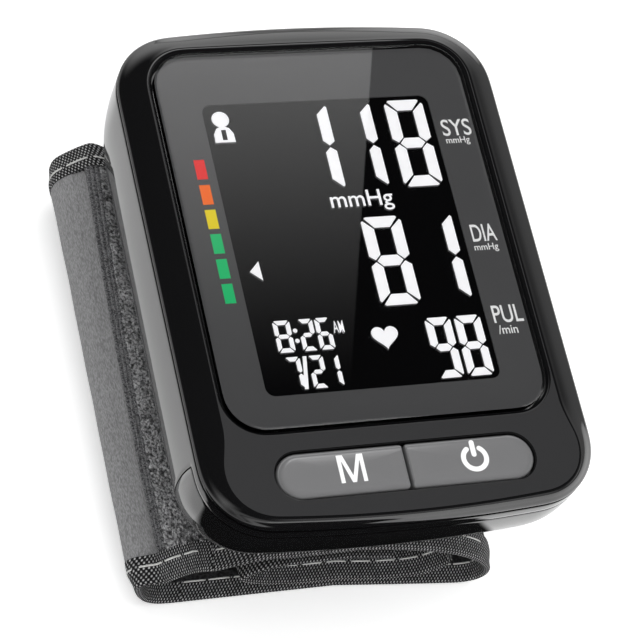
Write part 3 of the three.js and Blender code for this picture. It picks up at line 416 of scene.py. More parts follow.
inside_finishes = {
    "board": skin("board_green", (28, 92, 56), 0.4, 2400.0, 0.5, 0.3, 0.1, Coat_Weight=0.4),
    "cell_jacket": skin("cell_jacket", (58, 95, 134), 0.3, 900.0, 0.4, 0.22, 0.02, Metallic=0.4),
    "plated_steel": skin("plated_steel", (190, 192, 194), 0.25, 3000.0, 0.38, 0.2, 0.05, Metallic=1.0),
    "white_plastic": skin("white_plastic", (228, 228, 222), 0.4, 1600.0, 0.5, 0.35, 0.05),
    "black_plastic": skin("dark_plastic", (38, 38, 40), 0.45, 1600.0, 0.6, 0.4, 0.08),
    "conductive_rubber": skin("layered_rubber", (46, 46, 49), 0.8, 4000.0, 0.9, 0.7, 0.2),
    "silicone": skin(
        "hose_rubber", (206, 201, 190), 0.5, 1200.0, 0.55, 0.4, 0.05,
        Subsurface_Weight=0.1, Subsurface_Scale=0.002,
    ),
}
for row in frame["record"]["subparts"]:
    if row["material_slot"] in inside_finishes:
        recoat(frame["nodes"][row["node"]], inside_finishes[row["material_slot"]])

# Display cell: a black liquid crystal panel under the window, lit from behind.
# Its lit segments are thick white bars; their flanks are grey, a painted shadow of the bars that shows
# towards the lower left.
lcd_black = skin("lcd_black", (3, 3, 4), 0.25, 900.0, 0.3, 0.2, 0.01, Specular_IOR_Level=0.0)
recoat(frame["nodes"]["lcd_panel"], lcd_black)
lit_white = new_material("lit_white", tone(236, 237, 239), 0.5, Emission_Strength=0.35)
# The flanks' grey is painted shadow: it stands in for the bars' shadow on the panel behind them.
painted_shadow_flank = new_material("painted_shadow_flank", tone(120, 122, 124), 0.6)
for lit, low, high in ((lit_white, 226, 246), (painted_shadow_flank, 100, 138)):
    lit_tree = lit.node_tree
    lit_noise = noise(lit_tree, own_place(lit_tree), 700.0, 2.0)
    lit_ramp = lit_tree.nodes.new("ShaderNodeValToRGB")
    lit_ramp.color_ramp.elements[0].color = tone(low, low, low + 2)
    lit_ramp.color_ramp.elements[1].color = tone(high, high, high + 2)
    lit_tree.links.new(lit_noise, lit_ramp.inputs["Fac"])
    for socket in ("Base Color", "Emission Color"):
        lit_tree.links.new(lit_ramp.outputs["Color"], lit_tree.nodes["Principled BSDF"].inputs[socket])

LCD_TOP = 41.15
LIT_TOP = 41.62
LIT_LEAN = 0.05
LETTER_WEIGHT = 0.008


def at_height(flat, z):
    """Flat points set at a height."""
    return np.column_stack([flat, np.full(len(flat), z)])


def raised(outline):
    """A flat outline raised to a low plateau: foot ring, shoulder ring and a top ring drawn in slightly."""
    outline = np.asarray(outline, float)
    centre = outline.mean(0)
    span = np.ptp(outline, axis=0).max()
    drawn = centre + (outline - centre) * (1 - 2 * LIT_LEAN / span)
    shoulder = at_height(outline, LIT_TOP - LIT_LEAN)
    walls = np.stack([at_height(outline, LCD_TOP), shoulder])
    top = np.stack([shoulder, at_height(drawn, LIT_TOP)])
    # The walls take the second finish, the grey flank of painted shadow.
    return [patch(walls, closed=True, caps=(0,), finish=1), patch(top, closed=True, caps=(-1,))]


SEGMENTS = {"1": "bc", "2": "abged", "6": "afgedc", "7": "abc", "8": "abcdefg", "9": "abcfgd"}


def digit(figure, x0, x1, y0, y1, stroke, gap):
    """A seven-segment figure in a box: mitred bars top and bottom, pointed uprights, a six-sided middle."""
    w, h, t, g = x1 - x0, y1 - y0, stroke, gap
    upright = np.array([
        (0, h - 0.34 * t - g), (0.14 * t, h - 0.2 * t - g), (t, h - t - g), (t, h / 2 + 0.5 * t + 0.6 * g),
        (0.5 * t, h / 2 + 0.7 * g), (0, h / 2 + 0.34 * t + g),
    ])
    cross = np.array([
        (0.34 * t + g, h), (w - 0.34 * t - g, h), (w - 0.2 * t - g, h - 0.12 * t), (w - t - 0.5 * g, h - t),
        (t + 0.5 * g, h - t), (0.2 * t + g, h - 0.12 * t),
    ])
    middle = np.array([
        (0.5 * t + g, h / 2), (t + 0.4 * g, h / 2 + 0.48 * t), (w - t - 0.4 * g, h / 2 + 0.48 * t),
        (w - 0.5 * t - g, h / 2), (w - t - 0.4 * g, h / 2 - 0.48 * t), (t + 0.4 * g, h / 2 - 0.48 * t),
    ])
    shapes = {
        "a": cross, "d": cross * [1, -1] + [0, h], "f": upright, "b": upright * [-1, 1] + [w, 0],
        "e": upright * [1, -1] + [0, h], "c": upright * [-1, -1] + [w, h], "g": middle,
    }
    return [piece for name in SEGMENTS[figure] for piece in raised(shapes[name] + [x0, y0])]


def disc(x, y, radius, points=28):
    """Points round a circle."""
    turn = np.linspace(0, 2 * np.pi, points, endpoint=False)
    return np.column_stack([x + radius * np.cos(turn), y + radius * np.sin(turn)])


def heart(x, y, width, height):
    """Heart outline: the usual cubed-sine curve, scaled to a box."""
    turn = np.linspace(0, 2 * np.pi, 60, endpoint=False)
    across = np.sin(turn) ** 3
    up = (13 * np.cos(turn) - 5 * np.cos(2 * turn) - 2 * np.cos(3 * turn) - np.cos(4 * turn)) / 16
    up = (up - up.min()) / np.ptp(up) - 0.5
    return np.column_stack([x + across * width / 2, y + up * height])


lit_patches = []
for figure in (
    ("1", -4.6, 1.6, 12.3, 28.0, 1.85, 0.22), ("1", 2.6, 8.8, 12.3, 28.0, 1.85, 0.22),
    ("8", 11.2, 17.7, 12.2, 27.8, 1.9, 0.22),
    ("8", 2.5, 9.1, -8.0, 7.3, 1.9, 0.22), ("1", 11.1, 17.5, -8.0, 7.4, 1.85, 0.22),
    ("9", 8.7, 12.9, -20.8, -10.6, 1.3, 0.16), ("8", 13.5, 17.8, -20.8, -10.6, 1.3, 0.16),
    ("8", -15.3, -12.6, -14.5, -9.2, 0.72, 0.1), ("2", -11.4, -9.0, -14.5, -9.2, 0.72, 0.1),
    ("6", -8.7, -6.3, -14.5, -9.2, 0.72, 0.1),
    ("7", -14.7, -12.3, -20.7, -15.3, 0.72, 0.1), ("2", -11.1, -8.7, -20.7, -15.3, 0.72, 0.1),
    ("1", -8.6, -6.3, -20.7, -15.3, 0.72, 0.1),
):
    lit_patches += digit(*figure)
for x, y in ((-12.0, -11.0), (-12.0, -12.7)):
    lit_patches += raised(disc(x, y, 0.36))
lit_patches += raised([(-12.6, -20.7), (-12.0, -20.7), (-11.2, -15.3), (-11.8, -15.3)])
lit_patches += raised([(-16.9, -0.7), (-15.1, -2.3), (-15.2, 1.0)])
lit_patches += raised(heart(1.9, -13.4, 4.3, 3.9))
lit_patches += raised(disc(-16.0, 25.9, 1.4))
lit_patches += raised([
    (-17.6, 21.8), (-14.3, 21.8), (-14.35, 23.3), (-14.9, 24.3), (-15.5, 24.6), (-16.4, 24.6), (-17.0, 24.3),
    (-17.55, 23.3),
])
lit_figures = make_piece("lit_figures", lit_patches, [lit_white, painted_shadow_flank], crease=20.0)
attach(lit_figures, "case")


def letters(name, words, finishes, thick, weight=0.0):
    """Words as one mesh: each (text, x0, x1, y0, y1, z) is set in Blender's own font, fattened by weight,
    given a thickness, and stretched to its box."""
    places, faces, marks, count = [], [], [], 0
    for text, x0, x1, y0, y1, z in words:
        curve = bpy.data.curves.new(name, "FONT")
        curve.body = text
        curve.extrude = 0.05
        curve.offset = weight
        holder = put(name, curve)
        solid = holder.evaluated_get(bpy.context.evaluated_depsgraph_get()).to_mesh()
        co = np.zeros(len(solid.vertices) * 3)
        solid.vertices.foreach_get("co", co)
        co = co.reshape(-1, 3)
        low, high = co.min(0), co.max(0)
        share = (co - low) / (high - low)
        places.append(share * [x1 - x0, y1 - y0, thick] + [x0, y0, z])
        faces += [[v + count for v in face.vertices] for face in solid.polygons]
        # Upward faces take the first finish and the sides the last; for the lit words the last is the grey
        # flank of painted shadow.
        marks += [0 if abs(face.normal.z) > 0.5 else len(finishes) - 1 for face in solid.polygons]
        count += len(co)
        holder.to_mesh_clear()
        bpy.data.objects.remove(holder)
        bpy.data.curves.remove(curve)
    mesh = bpy.data.meshes.new(name)
    mesh.from_pydata((np.concatenate(places) * MM).tolist(), [], faces)
    mesh.polygons.foreach_set("material_index", marks)
    for finish in finishes:
        mesh.materials.append(finish)
    return put(name, mesh)


lit_words = letters("lit_words", [
    ("mmHg", -1.5, 8.75, 8.4, 12.1, LCD_TOP),
    ("AM", -6.0, -4.3, -11.9, -9.9, LCD_TOP),
], [lit_white, painted_shadow_flank], LIT_TOP - LCD_TOP, LETTER_WEIGHT)
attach(lit_words, "case")
icon_number = letters("icon_number", [("1", -16.3, -15.55, 22.2, 24.0, LIT_TOP)], [lcd_black], 0.03)
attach(icon_number, "case")

# Printed mask: a thin film behind the window, printed dark grey round the view of the display.
# The legends are printed in white, and the pressure scale in six coloured bars.
grey_print = skin("grey_print", (71, 71, 72), 0.5, 1500.0, 0.55, 0.4, 0.02)
recoat(frame["nodes"]["window_mask"], grey_print)
PRINT_Z = 41.705
PRINT_INK = 0.02
white_ink = skin("white_ink", (250, 250, 250), 0.5, 1500.0, 0.6, 0.45, 0.02)
legends = letters("printed_legends", [
    ("SYS", 19.8, 24.7, 20.8, 23.8, PRINT_Z), ("mmHg", 20.0, 24.0, 19.1, 20.6, PRINT_Z),
    ("DIA", 20.0, 24.1, 1.8, 4.8, PRINT_Z), ("mmHg", 19.9, 23.9, -0.1, 1.4, PRINT_Z),
    ("PUL", 19.9, 24.8, -12.4, -9.4, PRINT_Z), ("/min", 20.2, 23.4, -14.3, -12.8, PRINT_Z),
], [white_ink], PRINT_INK, LETTER_WEIGHT)
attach(legends, "case")


def printed(outline, z, ink, finish=0):
    """A printed shape with the thickness of its ink: the same outline at two heights."""
    sheet = np.stack([at_height(outline, z), at_height(outline, z + ink)])
    return patch(sheet, closed=True, caps=(0, -1), finish=finish)


bar_inks = []
bar_patches = []
for level, (colour, y0, y1) in enumerate((
    ((238, 32, 30), 15.5, 18.9), ((255, 112, 8), 11.1, 14.5), ((240, 218, 10), 6.9, 10.2),
    ((24, 190, 112), 2.65, 6.0), ((24, 190, 112), -1.6, 1.7), ((24, 190, 112), -5.8, -2.5),
)):
    bar_inks.append(skin(f"bar_ink_{level + 1}", colour, 0.5, 1500.0, 0.6, 0.45, 0.02))
    bar = np.array([(-21.8, y0), (-20.1, y0), (-20.1, y1), (-21.8, y1)])
    bar_patches.append(printed(bar, PRINT_Z, PRINT_INK, level))
pressure_bars = make_piece("pressure_bars", bar_patches, bar_inks)
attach(pressure_bars, "case")

# Window: a clear acrylic plate with polished, slightly rounded edges, bonded into the front cover.
# It stands just proud of the cover, so light runs round its rim.
WINDOW_HALF = 25.6
WINDOW_TOP = 37.5
WINDOW_LOW = -27.1
WINDOW_CORNER = 6.0
clear_window = new_material("clear_window", (1.0, 1.0, 1.0, 1.0), 0.0, IOR=1.49, Transmission_Weight=1.0)
clear_tree = clear_window.node_tree
clear_shader = clear_tree.nodes["Principled BSDF"]
clear_smear = noise(clear_tree, own_place(clear_tree), 60.0, 4.0)
clear_gloss = band(clear_tree, clear_smear, 0.35, 0.9, 0.0, 0.005)
clear_tree.links.new(clear_gloss, clear_shader.inputs["Roughness"])
clear_path = clear_tree.nodes.new("ShaderNodeLightPath")
clear_open = clear_tree.nodes.new("ShaderNodeBsdfTransparent")
clear_mix = wire(clear_tree, "ShaderNodeMixShader", {
    0: clear_path.outputs["Is Shadow Ray"], 1: clear_shader.outputs["BSDF"], 2: clear_open.outputs["BSDF"],
})
clear_tree.links.new(clear_mix.outputs["Shader"], clear_tree.nodes["Material Output"].inputs["Surface"])


def whole_ring(half, z):
    """A closed ring from a right half outline and its mirror image, at a height."""
    left = half[-2:0:-1] * [-1, 1]
    return at_height(np.concatenate([half, left]), z)


def ring_stack(ring, *steps):
    """Rings of one kind in a row, each by its own distance or outline and its height."""
    return np.stack([ring(*step) for step in steps])


def window_ring(grow, z):
    """The window's rounded rectangle, grown all round by a distance, at a height."""
    sides = (WINDOW_HALF + grow, WINDOW_TOP + grow, WINDOW_LOW - grow)
    return whole_ring(half_outline(*sides, WINDOW_CORNER + grow, 0, 0)[0], z)


plate = ring_stack(window_ring, (0, 41.8), (0, 42.78), (-0.06, 42.92), (-0.2, 43.0), (-0.5, 43.0))
window = make_piece("clear_window_plate", [
    patch(plate, closed=True, caps=(0, -1)),
], [clear_window], crease=30.0)
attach(window, "case")
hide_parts("display_window")

# Front cover: a shallow glossy black moulding that snaps into the tub with a tongue.
# Wide bevels slope from the window to the rim and run out beside a flat satin button panel.
PARTING_Z = 40.4
PANEL_Z = 42.8
CREST_SIDE = 26.85
CREST_TOP = 38.75
SLOT_Y = -34.65
SLOT_HALF = 20.45
SLOT_RADIUS = 3.85
POCKET_Z = 41.4
TONGUE_Z = 38.5
satin_panel = skin("satin_panel", (46, 46, 47), 0.34, 2200.0, 0.38, 0.32, 0.04, IOR=1.45)


def case_half(inset):
    """Right half of the case's outline, drawn in all round by a distance."""
    sides = (HALF_WIDTH - inset, HALF_LENGTH - inset, inset - HALF_LENGTH)
    return half_outline(*sides, CORNER - inset, END_BOW, END_BOW)[0]


def case_ring(inset, z):
    """The case's outline, drawn in all round by a distance, at a height."""
    return whole_ring(case_half(inset), z)


def ease(low, high, value):
    """A smooth step from 0 at low to 1 at high."""
    share = np.clip((value - low) / (high - low), 0, 1)
    return share * share * (3 - 2 * share)


def crest_half(inset):
    """Line where the bevel ends: round the window it is the window's own shape, and below it eases out
    to run just inside the rim."""
    near = half_outline(CREST_SIDE - inset, CREST_TOP - inset, inset - 38.6, 7.2 - inset, 0.1, END_BOW)[0]
    wide = case_half(0.8 + inset)
    share = ease(-40.0, -26.0, near[:, 1])[:, None]
    return wide + (near - wide) * share


def bevel_rows():
    """Section from the parting line up the rim, round into the bevel, up it, and round into the flat: two
    quadratic curves with a straight run between them, worked out for every point of the outline at once."""
    foot = case_ring(0, PARTING_Z + 0.5)
    crest = whole_ring(crest_half(0), PANEL_Z)
    land = whole_ring(crest_half(0.25), PANEL_Z)
    length = np.linalg.norm(crest - foot, axis=1, keepdims=True)
    lower = foot + (crest - foot) * np.minimum(0.45, 0.7 / length)
    upper = crest + (foot - crest) * np.minimum(0.3, 0.3 / length)
    under = foot - [0, 0, 0.34]
    curve = np.linspace(0, 1, 7)[:, None, None]
    rim = (1 - curve) ** 2 * under + 2 * curve * (1 - curve) * foot + curve ** 2 * lower
    run = lower + (upper - lower) * np.linspace(0, 1, 9)[1:-1, None, None]
    run[..., 2] += 0.12 * np.sin(np.pi * np.linspace(0, 1, 9)[1:-1, None])
    edge = (1 - curve) ** 2 * upper + 2 * curve * (1 - curve) * crest + curve ** 2 * land
    return np.concatenate([rim, run, edge])


def slot_half(grow):
    """Right half of the button slot's stadium, grown by a distance."""
    radius = SLOT_RADIUS + grow
    return half_outline(SLOT_HALF + grow, SLOT_Y + radius, SLOT_Y - radius, radius - 0.01, 0, 0)[0]


def slot_ring(grow, z):
    """The button slot's stadium, grown by a distance, at a height."""
    return whole_ring(slot_half(grow), z)


skirt = ring_stack(
    case_ring, (2.8, PARTING_Z), (2.8, TONGUE_Z), (2.7, TONGUE_Z - 0.1), (2.2, TONGUE_Z - 0.1),
    (2.1, TONGUE_Z), (2.1, PARTING_Z), (0.12, PARTING_Z), (0.03, PARTING_Z + 0.06),
)
view_hole = half_outline(20.8, 30.6, -23.6, 1.0, 0, 0)[0]
pocket = np.concatenate([
    ring_stack(
        window_ring, (0.85, PANEL_Z), (0.74, PANEL_Z - 0.05), (0.42, PANEL_Z - 0.36), (0.3, PANEL_Z - 0.5),
        (0.3, POCKET_Z),
    ),
    ring_stack(whole_ring, (view_hole, POCKET_Z), (view_hole, PARTING_Z)),
])
slot_wall = ring_stack(
    slot_ring, (0.14, PANEL_Z), (0.04, PANEL_Z - 0.04), (0, PANEL_Z - 0.14), (0, PARTING_Z),
)
front_cover = make_piece("front_shell", [
    patch(np.concatenate([skirt, bevel_rows()]), closed=True),
    patch(pocket, closed=True),
    patch(slot_wall, closed=True),
], [gloss_black, satin_panel], crease=32.0, fills=((PANEL_Z, 1), (PARTING_Z, 0)))
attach(front_cover, "case")
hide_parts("front_cover")

# Push buttons: two satin grey caps that share one long slot, each over its own switch.
# A memory mark and a standby mark are printed in white on their pillowed tops.
button_grey = skin(
    "button_grey", (117, 117, 118), 0.3, 2600.0, 0.34, 0.29, 0.03,
    Coat_Weight=1.0, Coat_Roughness=0.1, Coat_IOR=1.8,
)
CAP_RADIUS = 3.6
CAP_CORNER = 0.62
CAP_NEAR = 0.14
CAP_FAR = 20.2
CAP_MIDDLE = (10.2, 0)
CAP_SHOULDER = 42.2
CAP_ROUND = 1.2
CAP_RISE = 0.9
MARK_Z = 43.14
MARK_INK = 0.06


def cap_ring(side, inset, z, shrink=0.0):
    """Outline of one cap: the slot's rounded end on the outside and a nearly square end at the split."""
    radius, small = CAP_RADIUS - inset, max(CAP_CORNER - inset, 0.05)
    near, far = CAP_NEAR + 0.35 * inset, CAP_FAR - inset
    turn = np.linspace(0, np.pi / 2, 17)
    outer = np.column_stack([far - radius + radius * np.cos(turn), radius * np.sin(turn)])
    inner = np.column_stack([near + small - small * np.sin(turn), radius - small + small * np.cos(turn)])
    straight = np.linspace(far - radius, near + small, 24)[1:-1]
    straight = np.column_stack([straight, np.full(len(straight), radius)])
    top = np.concatenate([outer, straight, inner])
    ring = np.concatenate([top, top[::-1] * [1, -1]])
    ring = ring + (np.array(CAP_MIDDLE) - ring) * shrink
    return at_height(ring * [side, 1] + [0, SLOT_Y], z)


def button(name, side):
    """A cap as rings drawn in from its flange up its wall, round its edge and over a slight crown."""
    flange = ((-0.5, 39.3), (-0.5, 40.0), (0, 40.05), (0, CAP_SHOULDER))
    rows = [cap_ring(side, inset, z) for inset, z in flange]
    for turn in np.radians(np.linspace(0, 90, 10)[1:]):
        rows.append(cap_ring(side, CAP_ROUND * (1 - np.cos(turn)), CAP_SHOULDER + CAP_RISE * np.sin(turn)))
    for z, shrink in ((43.12, 0.1), (43.15, 0.3), (43.17, 0.6), (43.18, 0.9)):
        rows.append(cap_ring(side, CAP_ROUND, z, shrink))
    cap = patch(np.stack(rows), closed=True, caps=(0, -1))
    made = make_piece(name + "_cap", [cap], [button_grey], crease=60.0)
    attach(made, name)
    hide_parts(name)


button("memory_button", -1)
button("power_button", 1)


def arc_bar(x, y, radius, width, start, end):
    """A ring broken by a gap, as a round-ended bar of a set width carried along an arc."""
    turn = np.radians(np.linspace(start, end, 41))
    path = np.column_stack([x + radius * np.cos(turn), y + radius * np.sin(turn)])
    out = np.column_stack([np.cos(turn), np.sin(turn)]) * width / 2
    nose = np.radians(np.linspace(0, 180, 9))[1:-1]
    ahead = np.array([-np.sin(turn[-1]), np.cos(turn[-1])])
    back = -np.array([-np.sin(turn[0]), np.cos(turn[0])])
    tip = path[-1] + np.outer(np.cos(nose), out[-1]) + np.outer(np.sin(nose), ahead * width / 2)
    tail = path[0] - np.outer(np.cos(nose), out[0]) + np.outer(np.sin(nose), back * width / 2)
    return np.concatenate([path + out, tip, (path - out)[::-1], tail])


memory_letter = np.array([
    (0, 0), (0, 4.4), (0.95, 4.4), (2.05, 1.05), (3.15, 4.4), (4.1, 4.4), (4.1, 0), (3.48, 0), (3.48, 3.5),
    (2.35, 0), (1.75, 0), (0.62, 3.5), (0.62, 0),
]) + [-10.8, -36.6]
memory_mark = make_piece("memory_mark", [printed(memory_letter, MARK_Z, MARK_INK)], [white_ink])
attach(memory_mark, "memory_button")
standby_bar = np.concatenate([disc(10.6, -32.1, 0.4, 24)[:13], disc(10.6, -34.0, 0.4, 24)[12:]])
standby_mark = make_piece("standby_mark", [
    printed(arc_bar(10.6, -34.6, 1.8, 0.78, 124, 416), MARK_Z, MARK_INK),
    printed(standby_bar, MARK_Z, MARK_INK),
], [white_ink])
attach(standby_mark, "power_button")

# Cuff cover: the padded upper layer of the wrist band, brushed loop cloth over a thin foam.
# It wraps the bladder under the case, turns down at the right fold, and runs back along the table.
CUFF_LOW = -36.5
CUFF_HIGH = 35.0
CUFF_MIDDLE = -0.75
CUFF_HALF = 35.75
TAPE_DEPTH = 4.4
TAPE_LAP = 0.2
SKEW = 0.09
SPREAD = 2.0
SPREAD_FROM = 24.5
SPREAD_TO = 29.5
STRAP_HALF = 1.2
POUCH_LOW = -28.5
POUCH_HIGH = 27
COVER_BASE = 0.15
COVER_SWELL = 3
COVER_THICK = 1.4
LINING_BASE = 1.35
LINING_SWELL = 2
PUFF_RISE = (2.4, 14.4)
PUFF_FADE = (33.4, 49.4)
STRAP_TURN = (48.4, 53.4)
DROP_END = 12.5


def strap_line(pairs):
    """Centripetal Catmull-Rom curve through (x, z) pairs, as a dense table of arc length, place and
    heading."""
    p = np.array(pairs, float)
    p = np.vstack([2 * p[0] - p[1], p, 2 * p[-1] - p[-2]])[:, None, :]
    before, first, last, beyond = p[:-3], p[1:-2], p[2:-1], p[3:]
    step = [np.sqrt(np.linalg.norm(b - a, axis=-1, keepdims=True)) for a, b in
            ((before, first), (first, last), (last, beyond))]
    leave = (first - before) / step[0] - (last - before) / (step[0] + step[1]) + (last - first) / step[1]
    reach = (last - first) / step[1] - (beyond - first) / (step[1] + step[2]) + (beyond - last) / step[2]
    t = np.linspace(0, 1, 40, endpoint=False)[None, :, None]
    curve = (2 * t ** 3 - 3 * t ** 2 + 1) * first + (t ** 3 - 2 * t ** 2 + t) * leave * step[1]
    curve = curve + (3 * t ** 2 - 2 * t ** 3) * last + (t ** 3 - t ** 2) * reach * step[1]
    place = np.vstack([curve.reshape(-1, 2), p[-2]])
    run = np.append(0, np.cumsum(np.linalg.norm(np.diff(place, axis=0), axis=1)))
    heading = np.gradient(place, run, axis=0)
    return {"run": run, "place": place, "heading": heading / np.linalg.norm(heading, axis=1, keepdims=True)}


def off_line(line, s, y, offset):
    """Points at a distance s along a line, at a y, and moved to the left of its heading by an offset.
    The cuff lies slightly askew: to the right it comes nearer by a share of x, and round the left fold
    it spreads."""
    x, z = (np.interp(s, line["run"], line["place"][:, axis]) for axis in (0, 1))
    hx, hz = (np.interp(s, line["run"], line["heading"][:, axis]) for axis in (0, 1))
    spread = SPREAD * ease(SPREAD_FROM, SPREAD_TO, -x)
    y = y - SKEW * np.maximum(x, 0) + spread * (y - CUFF_LOW) / (CUFF_HIGH - CUFF_LOW)
    return np.stack(np.broadcast_arrays(x - hz * offset, y, z + hx * offset), -1)


def crown(y):
    """Fullness across the cuff: one in the middle, none at the two bound edges."""
    return 1 - np.abs((y - CUFF_MIDDLE) / CUFF_HALF) ** 3.5


def rumple(s, y, depth):
    """Slight unevenness of filled cloth: a few crossing waves of different lengths."""
    waves = np.sin(0.42 * s + 0.11 * y + 0.6) + np.sin(0.17 * s - 0.29 * y + 2.1) + np.sin(0.61 * y + 0.9)
    return depth * waves / 3


def puff(s):
    """Fullness along the band: it swells under the case and fades towards the right fold."""
    return ease(*PUFF_RISE, s) * (1 - ease(*PUFF_FADE, s))


def lean(y):
    """How far the left fold lies high at the display's top end and sinks at the near end: a parabola of y."""
    return 0.083 * y - 0.0005 * y ** 2 - 0.6


def near_drop(s, y):
    """The near end's sinking, carried on under the case until the band lies flat."""
    return np.minimum(lean(y), 0) * (1 - ease(BAND_START, DROP_END, s))


def strap_share(s):
    """How far the band has turned from a padded pair of layers into one strap."""
    return ease(*STRAP_TURN, s)


def cover_over(s, y):
    """Outer face of the cover: its thickness over the swell, turning into half the strap's thickness."""
    full = COVER_BASE + COVER_SWELL * puff(s) * crown(y) + COVER_THICK + near_drop(s, y)
    return full + (STRAP_HALF - full) * strap_share(s)


def cover_under(s, y):
    """Inner face of the cover, on the swell, turning into the other face of the strap."""
    full = COVER_BASE + COVER_SWELL * puff(s) * crown(y) + near_drop(s, y)
    return full + (-STRAP_HALF - full) * strap_share(s)


def lining_under(s, y):
    """Inner face of the lining, which swells the other way."""
    return near_drop(s, y) - LINING_BASE - LINING_SWELL * puff(s) * crown(y)


def cloth_strip(name, finish, line, s, y, under, over, slide=None):
    """A piece of cloth as a flat tube: the upper side out, the lower side back, and closed ends.
    The map lies flat on the cloth in mm, along and across it. slide moves the distances along by y."""
    s, y = s[:, None], y[None, :]
    s = slide(s, y) if slide else s + 0 * y
    upper = off_line(line, s, y, over(s, y))
    lower = off_line(line, s, y, under(s, y))[:, ::-1]
    tube = np.concatenate([upper, lower, upper[:, :1]], 1)
    along = np.concatenate([s, s[:, ::-1], s[:, :1]], 1)
    across = np.concatenate([y[0], y[0, -1] + 2 + (y[0, -1] - y[0, ::-1]), [2 * y[0, -1] - y[0, 0] + 4]])
    uv = np.stack(np.broadcast_arrays(along, across[None, :]), -1)
    count = y.shape[1]
    ends = [np.stack([tube[i, :count], tube[i, count:2 * count][::-1]]) for i in (0, -1)]
    end_uv = np.stack([np.stack([y[0] * 0, y[0]], -1)] * 2)
    return make_piece(name, [patch(tube, uv=uv)] + [patch(end, uv=end_uv) for end in ends], [finish])


band_line = strap_line([
    (-26.5, 17.4), (-24.5, 17.5), (-20.5, 16.9), (-16, 15.8), (-11, 15.25), (0, 15.55), (8, 15.15),
    (15, 13.67), (20, 11.1), (23.3, 8), (24.5, 5), (23.7, 2.7), (21.4, 1.5), (18, 1.25), (12, 1.2),
    (11, 1.2), (0, 1.2),
    (-24.5, 1.2), (-26.7, 1.2), (-28.1, 1.6), (-29, 2.7), (-29.3, 4.4), (-29.3, 8.25), (-29.1, 10.2),
])
BAND_START = 4.1
BAND_END = float(band_line["run"][-1])
LAY_END = float(band_line["run"][band_line["place"][:, 0] > -25.5].max())

# Brushed pile: tangled loops as two sizes of noise, lighter where loops catch the light.
brushed_pile, pile_in, pile_out = new_group(
    "brushed_pile",
    [("Vector", "vector"), ("Scale", "float"), ("Dark", "colour"), ("Light", "colour")],
    [("Colour", "colour"), ("Height", "float")],
)
pile_tangle = noise(
    brushed_pile, pile_in.outputs["Vector"], pile_in.outputs["Scale"], 5.0, Roughness=0.7, Distortion=1.4,
)
pile_cells = wire(brushed_pile, "ShaderNodeTexVoronoi", {
    "Vector": pile_in.outputs["Vector"],
    "Scale": sums(brushed_pile, "MULTIPLY", pile_in.outputs["Scale"], 1.3),
})
pile_height = sums(
    brushed_pile, "MULTIPLY_ADD", pile_cells.outputs["Distance"], -0.5,
    sums(brushed_pile, "ADD", pile_tangle, 0.25),
)
pile_mix = wire(brushed_pile, "ShaderNodeMix", {
    "Factor": band(brushed_pile, pile_height, 0.25, 0.75),
    "A": pile_in.outputs["Dark"], "B": pile_in.outputs["Light"],
}, data_type="RGBA")
brushed_pile.links.new(pile_mix.outputs["Result"], pile_out.inputs["Colour"])
brushed_pile.links.new(pile_height, pile_out.inputs["Height"])


def cloth(name, levels, roughness, effect_tree, size, shades, relief, stretch=(1.0, 1.0, 1.0), **sockets):
    """A cloth: an effect of a size between two shades, with a relief of a strength and a distance. It lies
    on the piece's own flat map, drawn out along or across the cloth."""
    made = new_material(name, tone(*levels), roughness, **sockets)
    tree = made.node_tree
    shader = tree.nodes["Principled BSDF"]
    flat = tree.nodes.new("ShaderNodeUVMap")
    flat.uv_map = "cloth"
    drawn = wire(tree, "ShaderNodeVectorMath", {0: flat.outputs["UV"], 1: stretch}, operation="MULTIPLY")
    effect = wire(tree, "ShaderNodeGroup", {
        "Vector": drawn.outputs["Vector"], 1: size, "Dark": tone(*shades[0]), "Light": tone(*shades[1]),
    }, node_tree=effect_tree)
    bump = wire(tree, "ShaderNodeBump", {
        "Height": effect.outputs["Height"], "Strength": relief[0], "Distance": relief[1],
    })
    tree.links.new(effect.outputs["Colour"], shader.inputs["Base Color"])
    tree.links.new(bump.outputs["Normal"], shader.inputs["Normal"])
    return made


# The cloth's own dark grey, set darker still as painted shade so that the inside of the cuff reads as deep
# shadow; the cover, lining and inner flap all use it.
cuff_cloth = cloth(
    "cuff_cloth", (44, 44, 46), 0.95, brushed_pile, 1.6, ((14, 14, 15), (60, 60, 62)), (0.7, 0.0003),
    Sheen_Weight=0.1,
)
cloth_y = np.linspace(CUFF_LOW + 2.9, CUFF_HIGH - 2.9, 96)
cuff_cover = cloth_strip(
    "cuff_cover_cloth", cuff_cloth, band_line, np.linspace(BAND_START, BAND_END, 230), cloth_y,
    lambda s, y: cover_under(s, y) + 0.05 - 0.09 * strap_share(s),
    lambda s, y: cover_over(s, y) - 0.3 + rumple(s, y, 0.12 * puff(s)),
)
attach(cuff_cover, "case")
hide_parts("cuff_cover")

# Bladder and stiffener inside the cuff: a welded film pouch under a springy white plastic sheet.
# The pouch is thin and flat at its welded rim and fuller in the middle.
film_grey = cloth(
    "film_grey", (150, 152, 150), 0.35, brushed_pile, 0.4, ((140, 142, 140), (160, 162, 160)), (0.1, 0.0002),
    Coat_Weight=0.3,
)
bladder = cloth_strip(
    "bladder_pouch", film_grey, band_line, np.linspace(15, 33, 60), np.linspace(POUCH_LOW, POUCH_HIGH, 60),
    lambda s, y: lining_under(s, y) + 1.6,
    lambda s, y: cover_under(s, y) - 1.9,
)
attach(bladder, "case")
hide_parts("air_bladder")

# Cuff lining: the softer inner layer that lies on the wrist, the same brushed cloth.
# It is sewn to the cover under the edge binding.
LINING_END = 47.4
cuff_lining = cloth_strip(
    "cuff_lining_cloth", cuff_cloth, band_line, np.linspace(BAND_START, LINING_END, 110), cloth_y,
    lambda s, y: lining_under(s, y) - 0.04 + rumple(s, y, 0.08 * puff(s)),
    lambda s, y: lining_under(s, y) + 1.15,
)
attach(cuff_lining, "case")
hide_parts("cuff_lining")

